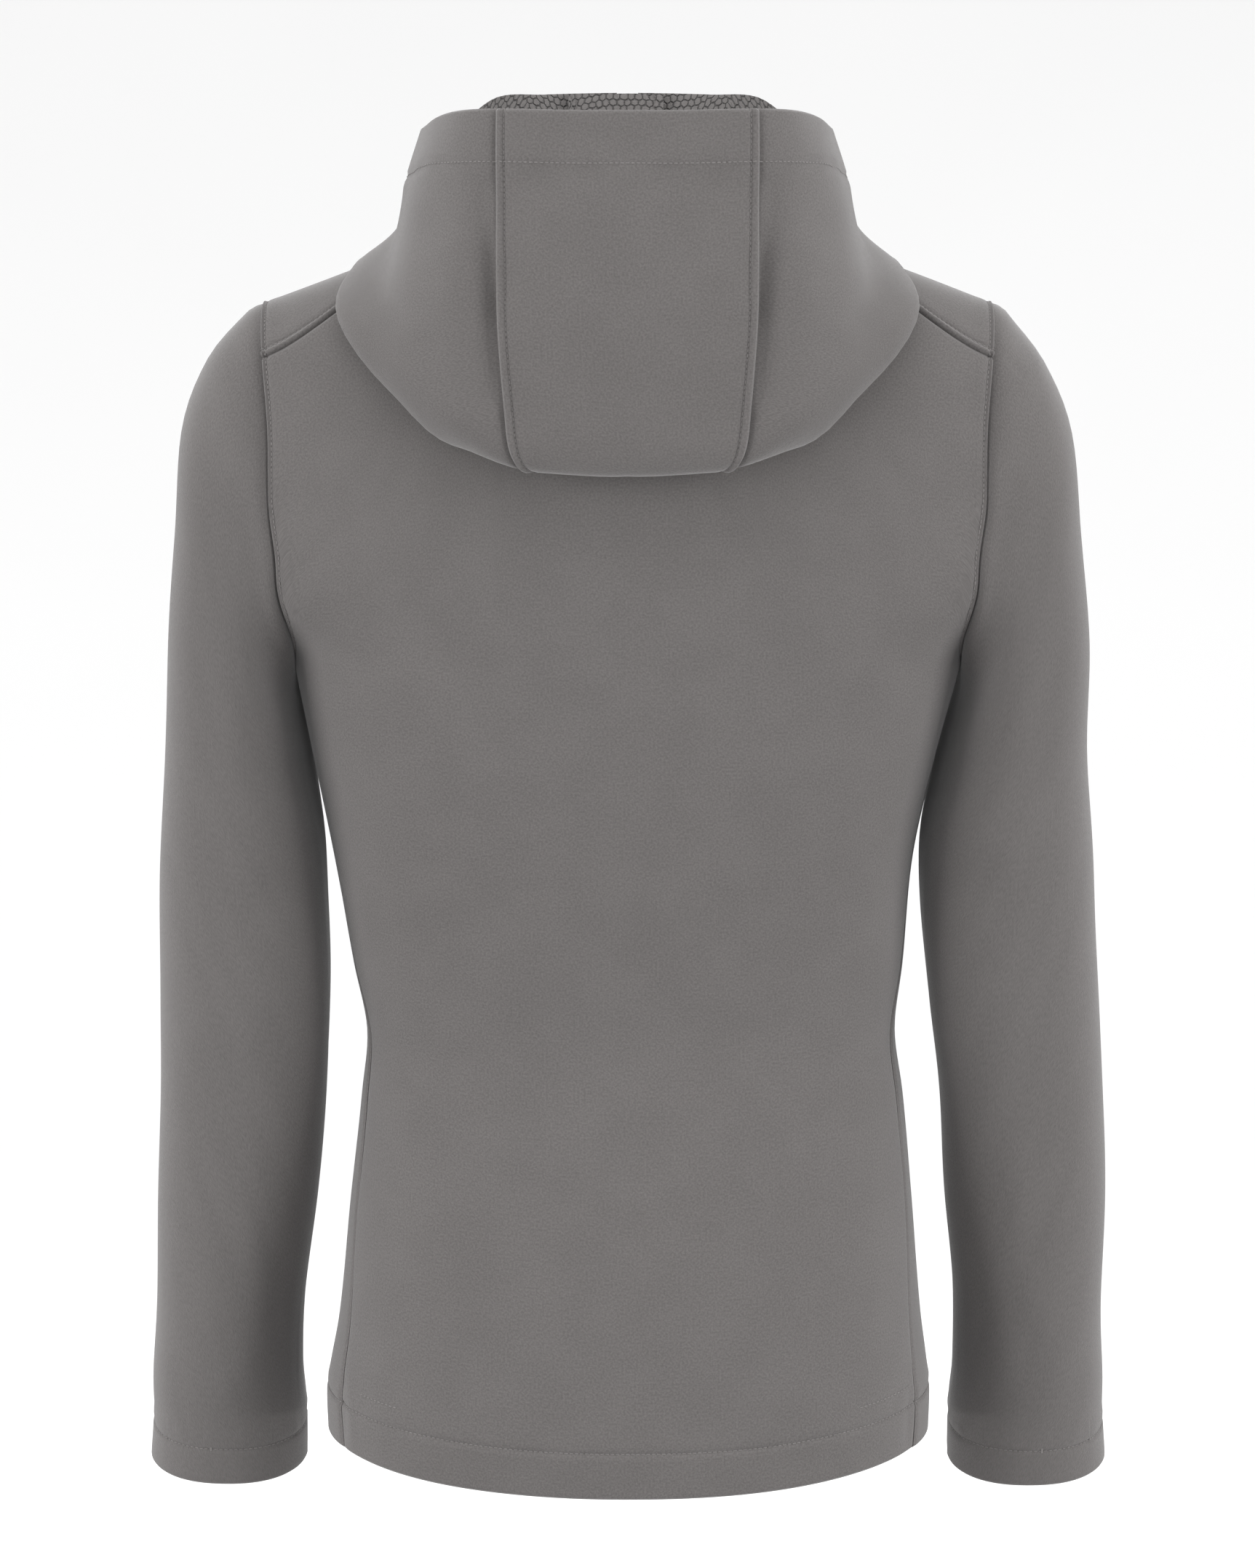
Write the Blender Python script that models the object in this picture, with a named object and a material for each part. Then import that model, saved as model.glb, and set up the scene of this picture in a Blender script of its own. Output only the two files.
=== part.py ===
"""Hooded softshell jacket with a fleece inside, standing in its worn shape with no wearer.

The body is a ring of cloth from hem to underarm and an arch of cloth over each shoulder above that.
Sleeves run from the armhole edge of those panels through rings to the cuff.
The hood lies down at the back: from the neck seam it runs over the shoulders, folds, and rises to its rim.
Metres, +Z up, the garment's front towards -Y, the wearer's left towards +X.
Z is zero at the shoulder points beside the neck.
"""
import bmesh
import bpy
import numpy as np
from mathutils import Matrix

# Cloth
WALL = 0.0016
SEAM_TRIM = 0.0003
SLEEVE_GAP = 0.0005
NECK_GAP = 0.0006

# Body ring, a rounded oval whose roundness is its power
RING_POWER = 2.3
# One row for each level from hem to underarm, and the side seam's angle round from the centre front
BODY_COLUMNS = ("z", "half_left", "half_right", "back", "front", "tail", "seam_deg")
BODY_ROWS = (
    (-0.655, 0.1622, 0.1628, 0.106, 0.104, 0.014, 111.0),
    (-0.632, 0.1628, 0.1632, 0.107, 0.105, 0.013, 110.0),
    (-0.592, 0.1563, 0.1588, 0.105, 0.104, 0.008, 108.0),
    (-0.527, 0.1495, 0.1539, 0.098, 0.102, 0.003, 105.0),
    (-0.470, 0.1430, 0.1483, 0.088, 0.098, 0.000, 103.0),
    (-0.436, 0.1400, 0.1438, 0.083, 0.096, 0.000, 101.0),
    (-0.399, 0.1472, 0.1479, 0.085, 0.099, 0.000, 99.0),
    (-0.335, 0.1585, 0.1535, 0.092, 0.110, 0.000, 95.0),
    (-0.285, 0.1680, 0.1650, 0.097, 0.119, 0.000, 92.0),
    (-0.235, 0.1780, 0.1780, 0.099, 0.122, 0.000, 90.0),
)

# Shoulder arch above the underarm
SHOULDER_SLOPE = 0.374
SHOULDER_TIP = 0.193
NECK_HALF = 0.072
NECK_BACK = 0.060
NECK_FRONT = 0.080
ARM_RISE = 0.42
BROADEN_RISE = 0.50
SWELL_RISE = 0.27
ARM_RING_HALF = 0.2045
ARM_BACK_HALF = 0.188
ARM_FRONT_HALF = 0.174
ARM_BACK_DEPTH = 0.060
ARM_FRONT_DEPTH = 0.054
ARCH_POWER_BACK = 2.7
ARCH_POWER_CHEST = 1.7
ARCH_POWER_FRONT_EDGE = 2.2
SHOULDER_SEAM_TURN = 38.0
SHOULDER_SEAM_BEND = 1.6
# Rise above which the armhole edge heads for the shoulder tip
TIP_RISE_BACK = 0.60
TIP_RISE_FRONT = 0.45

# Panel grids: how far across from centre to edge, and how far up from underarm to top edge
ZIP_SHARE = 0.029
NECK_PLACE = NECK_HALF / SHOULDER_TIP
SHOULDER_ACROSS = (NECK_PLACE, 0.53, 0.70, 0.85, 0.96, 1.0)
FRONT_ACROSS = (ZIP_SHARE, 0.15, 0.25, 0.32, 0.355, *SHOULDER_ACROSS)
BACK_ACROSS = (0.0, 0.13, 0.26, 0.34, *SHOULDER_ACROSS)
FRONT_RISE = (0.0, 0.02, 0.06, 0.12, 0.20, 0.30, 0.41, 0.52, 0.63, 0.73, 0.82, 0.91, 1.0)
BACK_RISE = (0.0, 0.03, 0.09, 0.18, 0.29, 0.42, 0.56, 0.70, 0.85, 1.0)
BODY_LEVELS = (-0.655, -0.632, -0.592, -0.545, -0.490, -0.455, -0.425, -0.380, -0.330, -0.283, -0.235)

# Sleeve, one row for each ring from armhole to cuff edge
SLEEVE_COLUMNS = ("z_out", "out_left", "out_right", "z_in", "in_left", "in_right",
                  "y", "depth", "lean", "tilt")
SLEEVE_ROWS = (
    (-0.0485, 0.1930, 0.1930, -0.235, 0.1780, 0.1780, 0.002, 0.0580, 0.10, 0.00),
    (-0.0590, 0.2085, 0.2060, -0.240, 0.1784, 0.1784, 0.002, 0.0590, 0.05, 0.00),
    (-0.0790, 0.2240, 0.2214, -0.247, 0.1776, 0.1776, 0.002, 0.0595, 0.07, 0.00),
    (-0.1100, 0.2345, 0.2336, -0.258, 0.1764, 0.1760, 0.002, 0.0595, 0.11, 0.00),
    (-0.1600, 0.2367, 0.2376, -0.275, 0.1740, 0.1720, 0.003, 0.0585, 0.16, 0.00),
    (-0.2200, 0.2408, 0.2420, -0.300, 0.1700, 0.1660, 0.003, 0.0565, 0.20, 0.01),
    (-0.2850, 0.2452, 0.2437, -0.332, 0.1640, 0.1590, 0.002, 0.0540, 0.16, 0.02),
    (-0.3500, 0.2500, 0.2495, -0.368, 0.1616, 0.1581, 0.000, 0.0515, 0.08, 0.03),
    (-0.4150, 0.2515, 0.2535, -0.412, 0.1602, 0.1615, -0.003, 0.0490, 0.02, 0.06),
    (-0.4700, 0.2525, 0.2570, -0.465, 0.1624, 0.1680, -0.009, 0.0470, 0.00, 0.10),
    (-0.5300, 0.2555, 0.2597, -0.527, 0.1679, 0.1726, -0.016, 0.0450, 0.00, 0.14),
    (-0.5900, 0.2575, 0.2590, -0.587, 0.1755, 0.1779, -0.025, 0.0435, 0.00, 0.17),
    (-0.6320, 0.2605, 0.2612, -0.628, 0.1778, 0.1785, -0.032, 0.0430, 0.00, 0.19),
    (-0.6560, 0.2605, 0.2612, -0.652, 0.1768, 0.1765, -0.037, 0.0428, 0.00, 0.20),
    (-0.6810, 0.2625, 0.2630, -0.682, 0.1772, 0.1765, -0.042, 0.0425, 0.00, 0.20),
)
SLEEVE_POWER = 2.25
ARMHOLE_KEPT_RINGS = 4.0

# Hood lying down, round an upright axis behind the neck's middle
HOOD_AXIS_Y = 0.015
UNDER_CLEARANCE = 0.0040
# One row for each direction round from the centre front; radii and heights of the profile's bends
HOOD_COLUMNS = ("deg", "fold_in", "low_r", "low_z", "waist_r", "waist_z", "bulge_r", "bulge_z",
                "rim_r", "rim_z", "handle")
HOOD_ROWS = (
    (0.0, 0.0955, 0.0965, -0.036, 0.0985, -0.012, 0.1010, 0.026, 0.1030, 0.0635, 0.004),
    (25.0, 0.0930, 0.0950, -0.019, 0.0985, -0.003, 0.1035, 0.028, 0.1070, 0.0625, 0.003),
    (40.0, 0.0960, 0.1030, -0.031, 0.1055, -0.008, 0.1090, 0.026, 0.1110, 0.0612, 0.005),
    (52.0, 0.1020, 0.1130, -0.033, 0.1120, -0.010, 0.1130, 0.022, 0.1120, 0.0500, 0.006),
    (72.0, 0.1180, 0.1345, -0.023, 0.1225, -0.005, 0.1155, 0.021, 0.1060, 0.0465, 0.005),
    (92.0, 0.1240, 0.1425, -0.0235, 0.1215, -0.0060, 0.1160, 0.019, 0.1070, 0.0470, 0.005),
    (108.0, 0.1385, 0.1550, -0.043, 0.1310, -0.021, 0.1198, 0.018, 0.1095, 0.0495, 0.014),
    (123.0, 0.1225, 0.1465, -0.068, 0.1385, -0.035, 0.1255, 0.016, 0.1138, 0.0555, 0.016),
    (137.0, 0.1035, 0.1365, -0.0885, 0.1340, -0.042, 0.1262, 0.012, 0.1185, 0.0584, 0.022),
    (148.0, 0.0925, 0.1265, -0.1035, 0.1280, -0.0475, 0.1225, 0.010, 0.1170, 0.0590, 0.027),
    (164.0, 0.0845, 0.1160, -0.1070, 0.1195, -0.050, 0.1140, 0.010, 0.1087, 0.0585, 0.030),
    (180.0, 0.0825, 0.1125, -0.1075, 0.1165, -0.051, 0.1105, 0.010, 0.1050, 0.0585, 0.030),
    (196.0, 0.0845, 0.1160, -0.1070, 0.1195, -0.050, 0.1140, 0.010, 0.1087, 0.0585, 0.030),
)
FOLLOW_FROM_DEG = 28.0
FOLLOW_FULL_DEG = 46.0
STAND_START = 0.014
# How the steps under the hood crowd towards the fold, and where it has lifted clear of the body
UNDER_CROWD = 1.3
LIFTED_SHARE = 0.25
UNDER_STEPS = 5
FOLD_STEPS = 4
RISE_STEPS = 7
# Where the centre panel's seam runs at the fold and at the rim
PANEL_SEAM_DEG = (151.5, 145.5)
HOOD_SIDE_COLUMNS = 12
HOOD_HALF_COLUMNS = 15
# Hood columns that start at the neck corners of the panels, front first
NECK_COLUMNS = (0, 2, 3, 4, 5, 6, 8, 10, 12, 15)
ZIP_DEG = 3.2
TAPE_DEG = 9.0

# Zip and storm flap, across from the centre and inwards from the cloth's outer face
TAPE_INNER_EDGE = 0.0005
TAPE_WIDTH = 0.0140
TAPE_THICK = 0.0008
TAPE_DEPTH = WALL + 0.0007
FLAP_LEFT = 0.031
FLAP_RIGHT = 0.019
FLAP_THICK = 0.0014
FLAP_DEPTH = TAPE_DEPTH + TAPE_THICK + 0.0010
TAPE_TOP_TRIM = 0.0030
FLAP_TOP_TRIM = 0.0006
HEM_CLEAR = 0.0020
NECK_TURN_REACH = 1.5
STRIP_HALF = 0.160
COLLAR_RADIUS = 0.099
STRAIGHT_AHEAD = np.array((0.0, -1.0, 0.0))

# Slider and pull tab
SLIDER_Z = 0.052
SLIDER_SIZE = (0.0084, 0.0040, 0.0110)
SLIDER_BEVEL = 0.0010
SLIDER_BEVEL_STEPS = 2
SLIDER_CLEARANCE = 0.0016
LUG_SIZE = (0.0010, 0.0036, 0.0040)
LUG_SPREAD = 0.0031
LUG_ROOT = 0.0004
BAR_RADIUS = 0.0007
HINGE_REACH = 0.0024
HINGE_ABOVE_MIDDLE = 0.0020
EYE_RADIUS = 0.0017
EYE_HOLE = 0.0010
EYE_WIDTH = 0.0040
TAB_SIZE = (0.0044, 0.0013, 0.0240)
TAB_BEVEL = 0.0005
TAB_BEVEL_STEPS = 1
ROUND_SIDES = 16

UNDERARM_Z = BODY_ROWS[-1][0]
# Rounds that find the neck edge, and the small lengths used where a limit would divide by zero
NECK_ROUNDS = 12
TINY = 1e-6
STEP_ACROSS = 1e-4
STEP_UP = 1e-3
REACH_LIMIT = 0.995
HALF_TURN = np.pi
QUARTER_TURN = np.pi / 2


def column(columns, rows, name):
    """One named column of a table, as an array."""
    return np.array(rows, float)[:, columns.index(name)]


def through(knots, values, at):
    """Smooth curve through the values of a table column at rising knots."""
    slopes = np.gradient(values, knots)
    at = np.clip(np.asarray(at, float), knots[0], knots[-1])
    index = np.clip(np.searchsorted(knots, at, side="right") - 1, 0, len(knots) - 2)
    width = knots[index + 1] - knots[index]
    part = (at - knots[index]) / width
    start = values[index] * (1 + 2 * part) * (1 - part) ** 2 + slopes[index] * width * part * (1 - part) ** 2
    end = values[index + 1] * part ** 2 * (3 - 2 * part) + slopes[index + 1] * width * part ** 2 * (part - 1)
    return start + end


def mix(first, second, share):
    """Part of the way from the first value to the second."""
    return first + (second - first) * share


def ease(low, high, value):
    """Rises softly from 0 at low to 1 at high."""
    share = np.clip((value - low) / (high - low), 0, 1)
    return share * share * (3 - 2 * share)


def unit(vectors):
    """Vectors brought to length one."""
    return vectors / np.maximum(np.linalg.norm(vectors, axis=-1, keepdims=True), TINY ** 2)


def body_at(name, z):
    """A size of the body ring at a level."""
    return through(column(BODY_COLUMNS, BODY_ROWS, "z"), column(BODY_COLUMNS, BODY_ROWS, name), z)


def half_name(side):
    """The table column for the left or the right half."""
    return "half_left" if side > 0 else "half_right"


def lower_body(share, z, is_back, side):
    """Body ring: share runs from the centre line to the side seam, z is the level at the side."""
    seam = np.radians(body_at("seam_deg", z))
    round_angle = np.where(is_back, HALF_TURN - (HALF_TURN - seam) * share, seam * share)
    across = np.abs(np.sin(round_angle)) ** (2 / RING_POWER)
    deep = np.abs(np.cos(round_angle)) ** (2 / RING_POWER)
    behind = np.cos(round_angle) < 0
    x = side * body_at(half_name(side), z) * across
    y = np.where(behind, body_at("back", z) * deep, -body_at("front", z) * deep)
    return np.stack([x, y, z - np.where(behind, body_at("tail", z) * deep ** 2, 0)], -1)


def ridge_height(x):
    """Height of the shoulder line at a distance from the centre."""
    return -SHOULDER_SLOPE * (np.abs(x) - NECK_HALF)


def arch_sizes(share, rise, is_back, side):
    """Distance from the centre and depth of the shoulder arch at a rise between 0 and 1.

    Low down the panel lies on the body ring, cut back from the side as the armhole scoops into it.
    Behind, the ring swells above the underarm, so that the armhole edge runs straight up.
    Higher up it broadens to the shoulder's own width and depth.
    """
    across = np.sin(QUARTER_TURN * share) ** (2 / RING_POWER)
    climbed = np.clip(rise / ARM_RISE, 0, 1)
    scoop = np.sqrt(np.maximum(1 - (1 - climbed) ** 2, 0))
    middle = np.where(is_back, body_at("back", UNDERARM_Z), body_at("front", UNDERARM_Z))
    edge = np.where(is_back, ARM_BACK_DEPTH, ARM_FRONT_DEPTH)
    cut = np.arccos((edge * scoop / middle) ** (RING_POWER / 2))
    reached = mix(QUARTER_TURN, cut, share)
    half = body_at(half_name(side), UNDERARM_Z)
    swell = np.where(is_back, ease(0, SWELL_RISE, rise), 0)
    ring_x = mix(half, ARM_RING_HALF, swell) * np.sin(reached * share) ** (2 / RING_POWER)
    ring_depth = middle * np.cos(reached * share) ** (2 / RING_POWER)
    top_half = np.where(is_back, mix(ARM_BACK_HALF, SHOULDER_TIP, ease(TIP_RISE_BACK, 1, rise)),
                        mix(ARM_FRONT_HALF, SHOULDER_TIP, ease(TIP_RISE_FRONT, 1, rise)))
    top_depth = edge + (middle - edge) * (1 - across ** 2)
    weight = ease(0, BROADEN_RISE, rise)
    return mix(ring_x, top_half * across, weight), mix(ring_depth, top_depth, weight)


def arch_power(share, is_back):
    """Roundness of the shoulder arch."""
    across = np.sin(QUARTER_TURN * share) ** (2 / RING_POWER)
    return np.where(is_back, ARCH_POWER_BACK, mix(ARCH_POWER_CHEST, ARCH_POWER_FRONT_EDGE, across))


def upper_body(share, angle, side):
    """Shoulder arch: angle runs from 0 at the front underarm level over to a half turn behind."""
    is_back = angle > QUARTER_TURN
    folded = np.where(is_back, HALF_TURN - angle, angle)
    power = arch_power(share, is_back)
    sine = np.abs(np.sin(folded))
    cosine = np.abs(np.cos(folded))
    size = (sine ** power + cosine ** power) ** (1 / power)
    rise = sine / size
    reach = cosine / size
    x, depth = arch_sizes(share, rise, is_back, side)
    y = np.where(is_back, depth, -depth) * reach
    z = UNDERARM_Z + (ridge_height(x) - UNDERARM_Z) * rise
    return np.stack([side * x, y, z], -1)


def neck_angle(share, is_back, side):
    """Arch angle where a column of the panel meets the neck oval."""
    across = np.sin(QUARTER_TURN * share) ** (2 / RING_POWER)
    power = arch_power(share, is_back)
    x = across * SHOULDER_TIP
    depth = np.full_like(x, body_at("front", UNDERARM_Z))
    rise = np.ones_like(x)
    for _ in range(NECK_ROUNDS):
        wide = np.clip(x / NECK_HALF, 0, 1)
        reach = (NECK_BACK if is_back else NECK_FRONT) * np.sqrt(1 - wide ** 2) / depth
        rise = (1 - np.clip(reach, 0, 1) ** power) ** (1 / power)
        x, depth = arch_sizes(share, rise, np.full(x.shape, is_back), side)
    folded = np.arctan2(rise, reach)
    return HALF_TURN - folded if is_back else folded


def top_angle(share, is_back, side):
    """Arch angle of a panel's top edge: neck oval near the centre, shoulder seam beyond it."""
    across = np.sin(QUARTER_TURN * share) ** (2 / RING_POWER)
    along = np.clip((across - NECK_PLACE) / (1 - NECK_PLACE), 0, 1)
    turn = SHOULDER_SEAM_TURN * (1 - (1 - along) ** SHOULDER_SEAM_BEND)
    seam = QUARTER_TURN + np.radians(turn)
    return np.where(across < NECK_PLACE - TINY, neck_angle(share, is_back, side), seam)


def panel(share, up, is_back, side):
    """Point on a front or back panel: up is the level below the underarm, or 1 plus the share of the arch."""
    share, up = np.broadcast_arrays(np.asarray(share, float), np.asarray(up, float))
    top = top_angle(share, is_back, side)
    risen = np.clip(up - 1, 0, 1)
    angle = HALF_TURN - (HALF_TURN - top) * risen if is_back else top * risen
    below = lower_body(share, np.minimum(up, UNDERARM_Z), np.full(share.shape, is_back), side)
    return np.where((up < 0)[..., None], below, upper_body(share, angle, side))


def panel_share(across):
    """Column position on a panel for a distance from the centre as a part of the half width."""
    return np.arcsin(np.asarray(across, float) ** (RING_POWER / 2)) / QUARTER_TURN


def panel_rows(rise):
    """Row positions on a panel: the body levels, then the arch."""
    return np.concatenate([np.array(BODY_LEVELS[:-1]), 1 + np.array(rise)])


def panel_normal(share, up, is_back, side):
    """Direction out of the cloth, from small steps along the panel."""
    share, up = np.broadcast_arrays(np.asarray(share, float), np.asarray(up, float))
    left = np.clip(share - STEP_ACROSS, TINY, 1)
    right = np.clip(share + STEP_ACROSS, TINY, 1)
    lowest = np.where(up < 0, BODY_LEVELS[0], 1.0)
    highest = np.where(up < 0, UNDERARM_Z, 2.0)
    low = np.clip(up - STEP_UP, lowest, highest)
    high = np.clip(up + STEP_UP, lowest, highest)
    along = panel(right, up, is_back, side) - panel(left, up, is_back, side)
    upward = panel(share, high, is_back, side) - panel(share, low, is_back, side)
    facing = np.cross(along, upward)
    return unit(facing) * (-side if is_back else side)


def trim(points, edges):
    """A grid of points with its named edges drawn back from the seam lines."""
    points = points.copy()
    if "left" in edges:
        points[:, 0] += SEAM_TRIM * unit(points[:, 1] - points[:, 0])
    if "right" in edges:
        points[:, -1] += SEAM_TRIM * unit(points[:, -2] - points[:, -1])
    if "top" in edges:
        points[-1] += SEAM_TRIM * unit(points[-2] - points[-1])
    return points


def place_grid(bm, points):
    """A grid of faces whose corners are the given rows and columns of points."""
    rows, columns = points.shape[:2]
    made = bmesh.ops.create_grid(bm, x_segments=columns - 1, y_segments=rows - 1, size=1.0)["verts"]
    for vert in made:
        place = (round((vert.co.y + 1) / 2 * (rows - 1)), round((vert.co.x + 1) / 2 * (columns - 1)))
        vert.co = points[place]
    return made


def rim_edges(bm):
    """Edges of the mesh that border one face only."""
    return [edge for edge in bm.edges if edge.is_boundary]


def add_object(name, bm, material):
    """The finished mesh as a named object."""
    bmesh.ops.recalc_face_normals(bm, faces=bm.faces)
    if bm.calc_volume(signed=True) < 0:
        bmesh.ops.reverse_faces(bm, faces=bm.faces)
    mesh = bpy.data.meshes.new(name)
    bm.to_mesh(mesh)
    bm.free()
    made = bpy.data.objects.new(name, mesh)
    made.data.materials.append(material)
    parts.objects.link(made)
    return made


def cloth_wall(name, outer, inner, material):
    """A panel of cloth: its two faces joined round the edge."""
    bm = bmesh.new()
    place_grid(bm, outer)
    place_grid(bm, inner)
    bmesh.ops.bridge_loops(bm, edges=rim_edges(bm))
    return add_object(name, bm, material)


def cloth_tube(name, outer, inner, material):
    """A sleeve of cloth: two tubes joined at the armhole and at the cuff."""
    bm = bmesh.new()
    place_grid(bm, outer)
    place_grid(bm, inner)
    bmesh.ops.remove_doubles(bm, verts=bm.verts, dist=TINY)
    ends = rim_edges(bm)
    cuff_z = SLEEVE_ROWS[-2][SLEEVE_COLUMNS.index("z_in")]
    armhole_side = [edge for edge in ends if edge.verts[0].co.z > cuff_z]
    cuff_side = [edge for edge in ends if edge not in armhole_side]
    bmesh.ops.bridge_loops(bm, edges=armhole_side)
    bmesh.ops.bridge_loops(bm, edges=cuff_side)
    return add_object(name, bm, material)


def paint(name, colour, roughness, metal=0.0):
    """A plain material."""
    made = bpy.data.materials.new(name)
    made.use_nodes = True
    shader = made.node_tree.nodes["Principled BSDF"]
    shader.inputs["Base Color"].default_value = (*colour, 1)
    shader.inputs["Roughness"].default_value = roughness
    shader.inputs["Metallic"].default_value = metal
    return made


def front_panel(side):
    """Outer and inner faces of a front, zip edge to side seam and armhole, hem to shoulder seam."""
    share = panel_share(FRONT_ACROSS)[None, :]
    up = panel_rows(FRONT_RISE)[:, None]
    outer = panel(share, up, False, side)
    inner = outer - WALL * panel_normal(share, up, False, side)
    return outer, inner


def back_half(side):
    """Outer and inner faces of one half of the back, centre to side seam and armhole."""
    share = np.maximum(panel_share(BACK_ACROSS), TINY)[None, :]
    up = panel_rows(BACK_RISE)[:, None]
    outer = panel(share, up, True, side)
    inner = outer - WALL * panel_normal(share, up, True, side)
    return outer, inner


def sleeve_at(name, ring):
    """A sleeve size at a ring number."""
    values = column(SLEEVE_COLUMNS, SLEEVE_ROWS, name)
    return through(np.arange(len(values), dtype=float), values, ring)


def sleeve_ring(ring, round_angle, side):
    """Rounded oval of a sleeve ring; the angle is 0 at the outside and a quarter turn at the back."""
    hand = "left" if side > 0 else "right"
    out = np.stack([side * sleeve_at("out_" + hand, ring), 0 * ring, sleeve_at("z_out", ring)], -1)
    inside = np.stack([side * sleeve_at("in_" + hand, ring), 0 * ring, sleeve_at("z_in", ring)], -1)
    depth = sleeve_at("depth", ring)
    back = np.stack([side * depth * sleeve_at("lean", ring), depth, -depth * sleeve_at("tilt", ring)], -1)
    middle = (out + inside) / 2
    middle[..., 1] = sleeve_at("y", ring)
    cosine = np.cos(round_angle)
    sine = np.sin(round_angle)
    size = (np.abs(cosine) ** SLEEVE_POWER + np.abs(sine) ** SLEEVE_POWER) ** (1 / SLEEVE_POWER)
    return middle + (out - inside) / 2 * (cosine / size)[..., None] + back * (sine / size)[..., None]


def sleeve_faces(side, armhole, armhole_normal):
    """Outer and inner faces of a sleeve whose first ring is the armhole edge of the panels."""
    rings = np.arange(len(SLEEVE_ROWS), dtype=float)[:, None]
    first = dict(zip(SLEEVE_COLUMNS, SLEEVE_ROWS[0]))
    middle_z = (first["z_out"] + first["z_in"]) / 2
    backward = (armhole[:, 1] - first["y"]) / first["depth"]
    outward = (armhole[:, 2] - middle_z) / (first["z_out"] - middle_z)
    round_angle = np.arctan2(backward, outward)
    rings, turn = np.broadcast_arrays(rings, round_angle[None, :])
    kept = np.clip(1 - rings / ARMHOLE_KEPT_RINGS, 0, 1)[..., None] ** 2
    residue = armhole[None] - sleeve_ring(np.zeros_like(turn[:1]), turn[:1], side)
    outer = sleeve_ring(rings, turn, side) + residue * kept
    along = np.gradient(outer, axis=0)
    looped = np.concatenate([outer[:, -2:-1], outer, outer[:, 1:2]], axis=1)
    around = looped[:, 2:] - looped[:, :-2]
    normal = unit(np.cross(around, along)) * side
    centre = outer[:, :-1].mean(axis=1, keepdims=True)
    normal *= np.where(((outer - centre) * normal).sum(-1).mean() < 0, -1, 1)
    seam = normal[0].copy()
    seam[:, 0] = side * np.minimum(side * seam[:, 0], side * armhole_normal[:, 0])
    normal[0] = unit(seam)
    inner = outer - WALL * normal
    outer[0, :, 0] += side * SLEEVE_GAP
    inner[0, :, 0] += side * SLEEVE_GAP
    return outer, inner


def hood_at(name, degrees):
    """A hood profile size in a direction round from the centre front."""
    return through(column(HOOD_COLUMNS, HOOD_ROWS, "deg"), column(HOOD_COLUMNS, HOOD_ROWS, name), degrees)


def body_height(x, y):
    """Height of the shoulders and upper back under a point seen from above."""
    is_back = y > 0
    across = np.clip(np.abs(x) / SHOULDER_TIP, 0, 1)
    edge = np.where(is_back, ARM_BACK_DEPTH, ARM_FRONT_DEPTH)
    middle = np.where(is_back, body_at("back", UNDERARM_Z), body_at("front", UNDERARM_Z))
    depth = edge + (middle - edge) * (1 - across ** 2)
    power = np.where(is_back, ARCH_POWER_BACK, mix(ARCH_POWER_CHEST, ARCH_POWER_FRONT_EDGE, across))
    reach = np.clip(np.abs(y) / depth, 0, REACH_LIMIT)
    return UNDERARM_Z + (ridge_height(x) - UNDERARM_Z) * (1 - reach ** power) ** (1 / power)


def hood_profile(degrees, neck_r, neck_z):
    """Radius and height along the hood from neck seam to rim, one row for each step."""
    turn = np.radians(degrees)
    follow = ease(FOLLOW_FROM_DEG, FOLLOW_FULL_DEG, degrees)
    fold_r = hood_at("fold_in", degrees)
    part = 1 - (1 - np.arange(UNDER_STEPS + 1) / UNDER_STEPS)[:, None] ** UNDER_CROWD
    clear = UNDER_CLEARANCE * ease(0, LIFTED_SHARE, part)
    under_r = mix(neck_r, fold_r, part)
    body_r = np.maximum(under_r - clear, neck_r)
    surface = body_height(body_r * np.sin(turn), HOOD_AXIS_Y - body_r * np.cos(turn))
    start = body_height(neck_r * np.sin(turn), HOOD_AXIS_Y - neck_r * np.cos(turn))
    over_body = surface + (neck_z - start) * (1 - part) + clear
    under_z = mix(neck_z + STAND_START * part, over_body, follow)
    bends = []
    for name in ("low", "waist", "bulge", "rim"):
        bends.append(np.stack([hood_at(name + "_r", degrees), hood_at(name + "_z", degrees)], -1))
    bends = np.array(bends)
    spans = len(bends) - 1
    steps = np.arange(RISE_STEPS + 1) / RISE_STEPS * spans
    slopes = np.gradient(bends, axis=0)
    index = np.clip(np.floor(steps).astype(int), 0, spans - 1)
    part = (steps - index)[:, None, None]
    rise = (bends[index] * (1 + 2 * part) * (1 - part) ** 2 + slopes[index] * part * (1 - part) ** 2
            + bends[index + 1] * part ** 2 * (3 - 2 * part) + slopes[index + 1] * part ** 2 * (part - 1))
    under = np.stack([under_r, under_z], -1)
    low = rise[0]
    leave = unit(under[-1] - under[-2])
    arrive = unit(rise[1] - rise[0])
    handle = hood_at("handle", degrees)[:, None]
    part = (np.arange(1, FOLD_STEPS) / FOLD_STEPS)[:, None, None]
    fold = (under[-1] * (1 - part) ** 3 + 3 * (under[-1] + handle * leave) * part * (1 - part) ** 2
            + 3 * (low - handle * arrive) * part ** 2 * (1 - part) + low * part ** 3)
    return np.concatenate([under, fold, rise])


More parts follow.
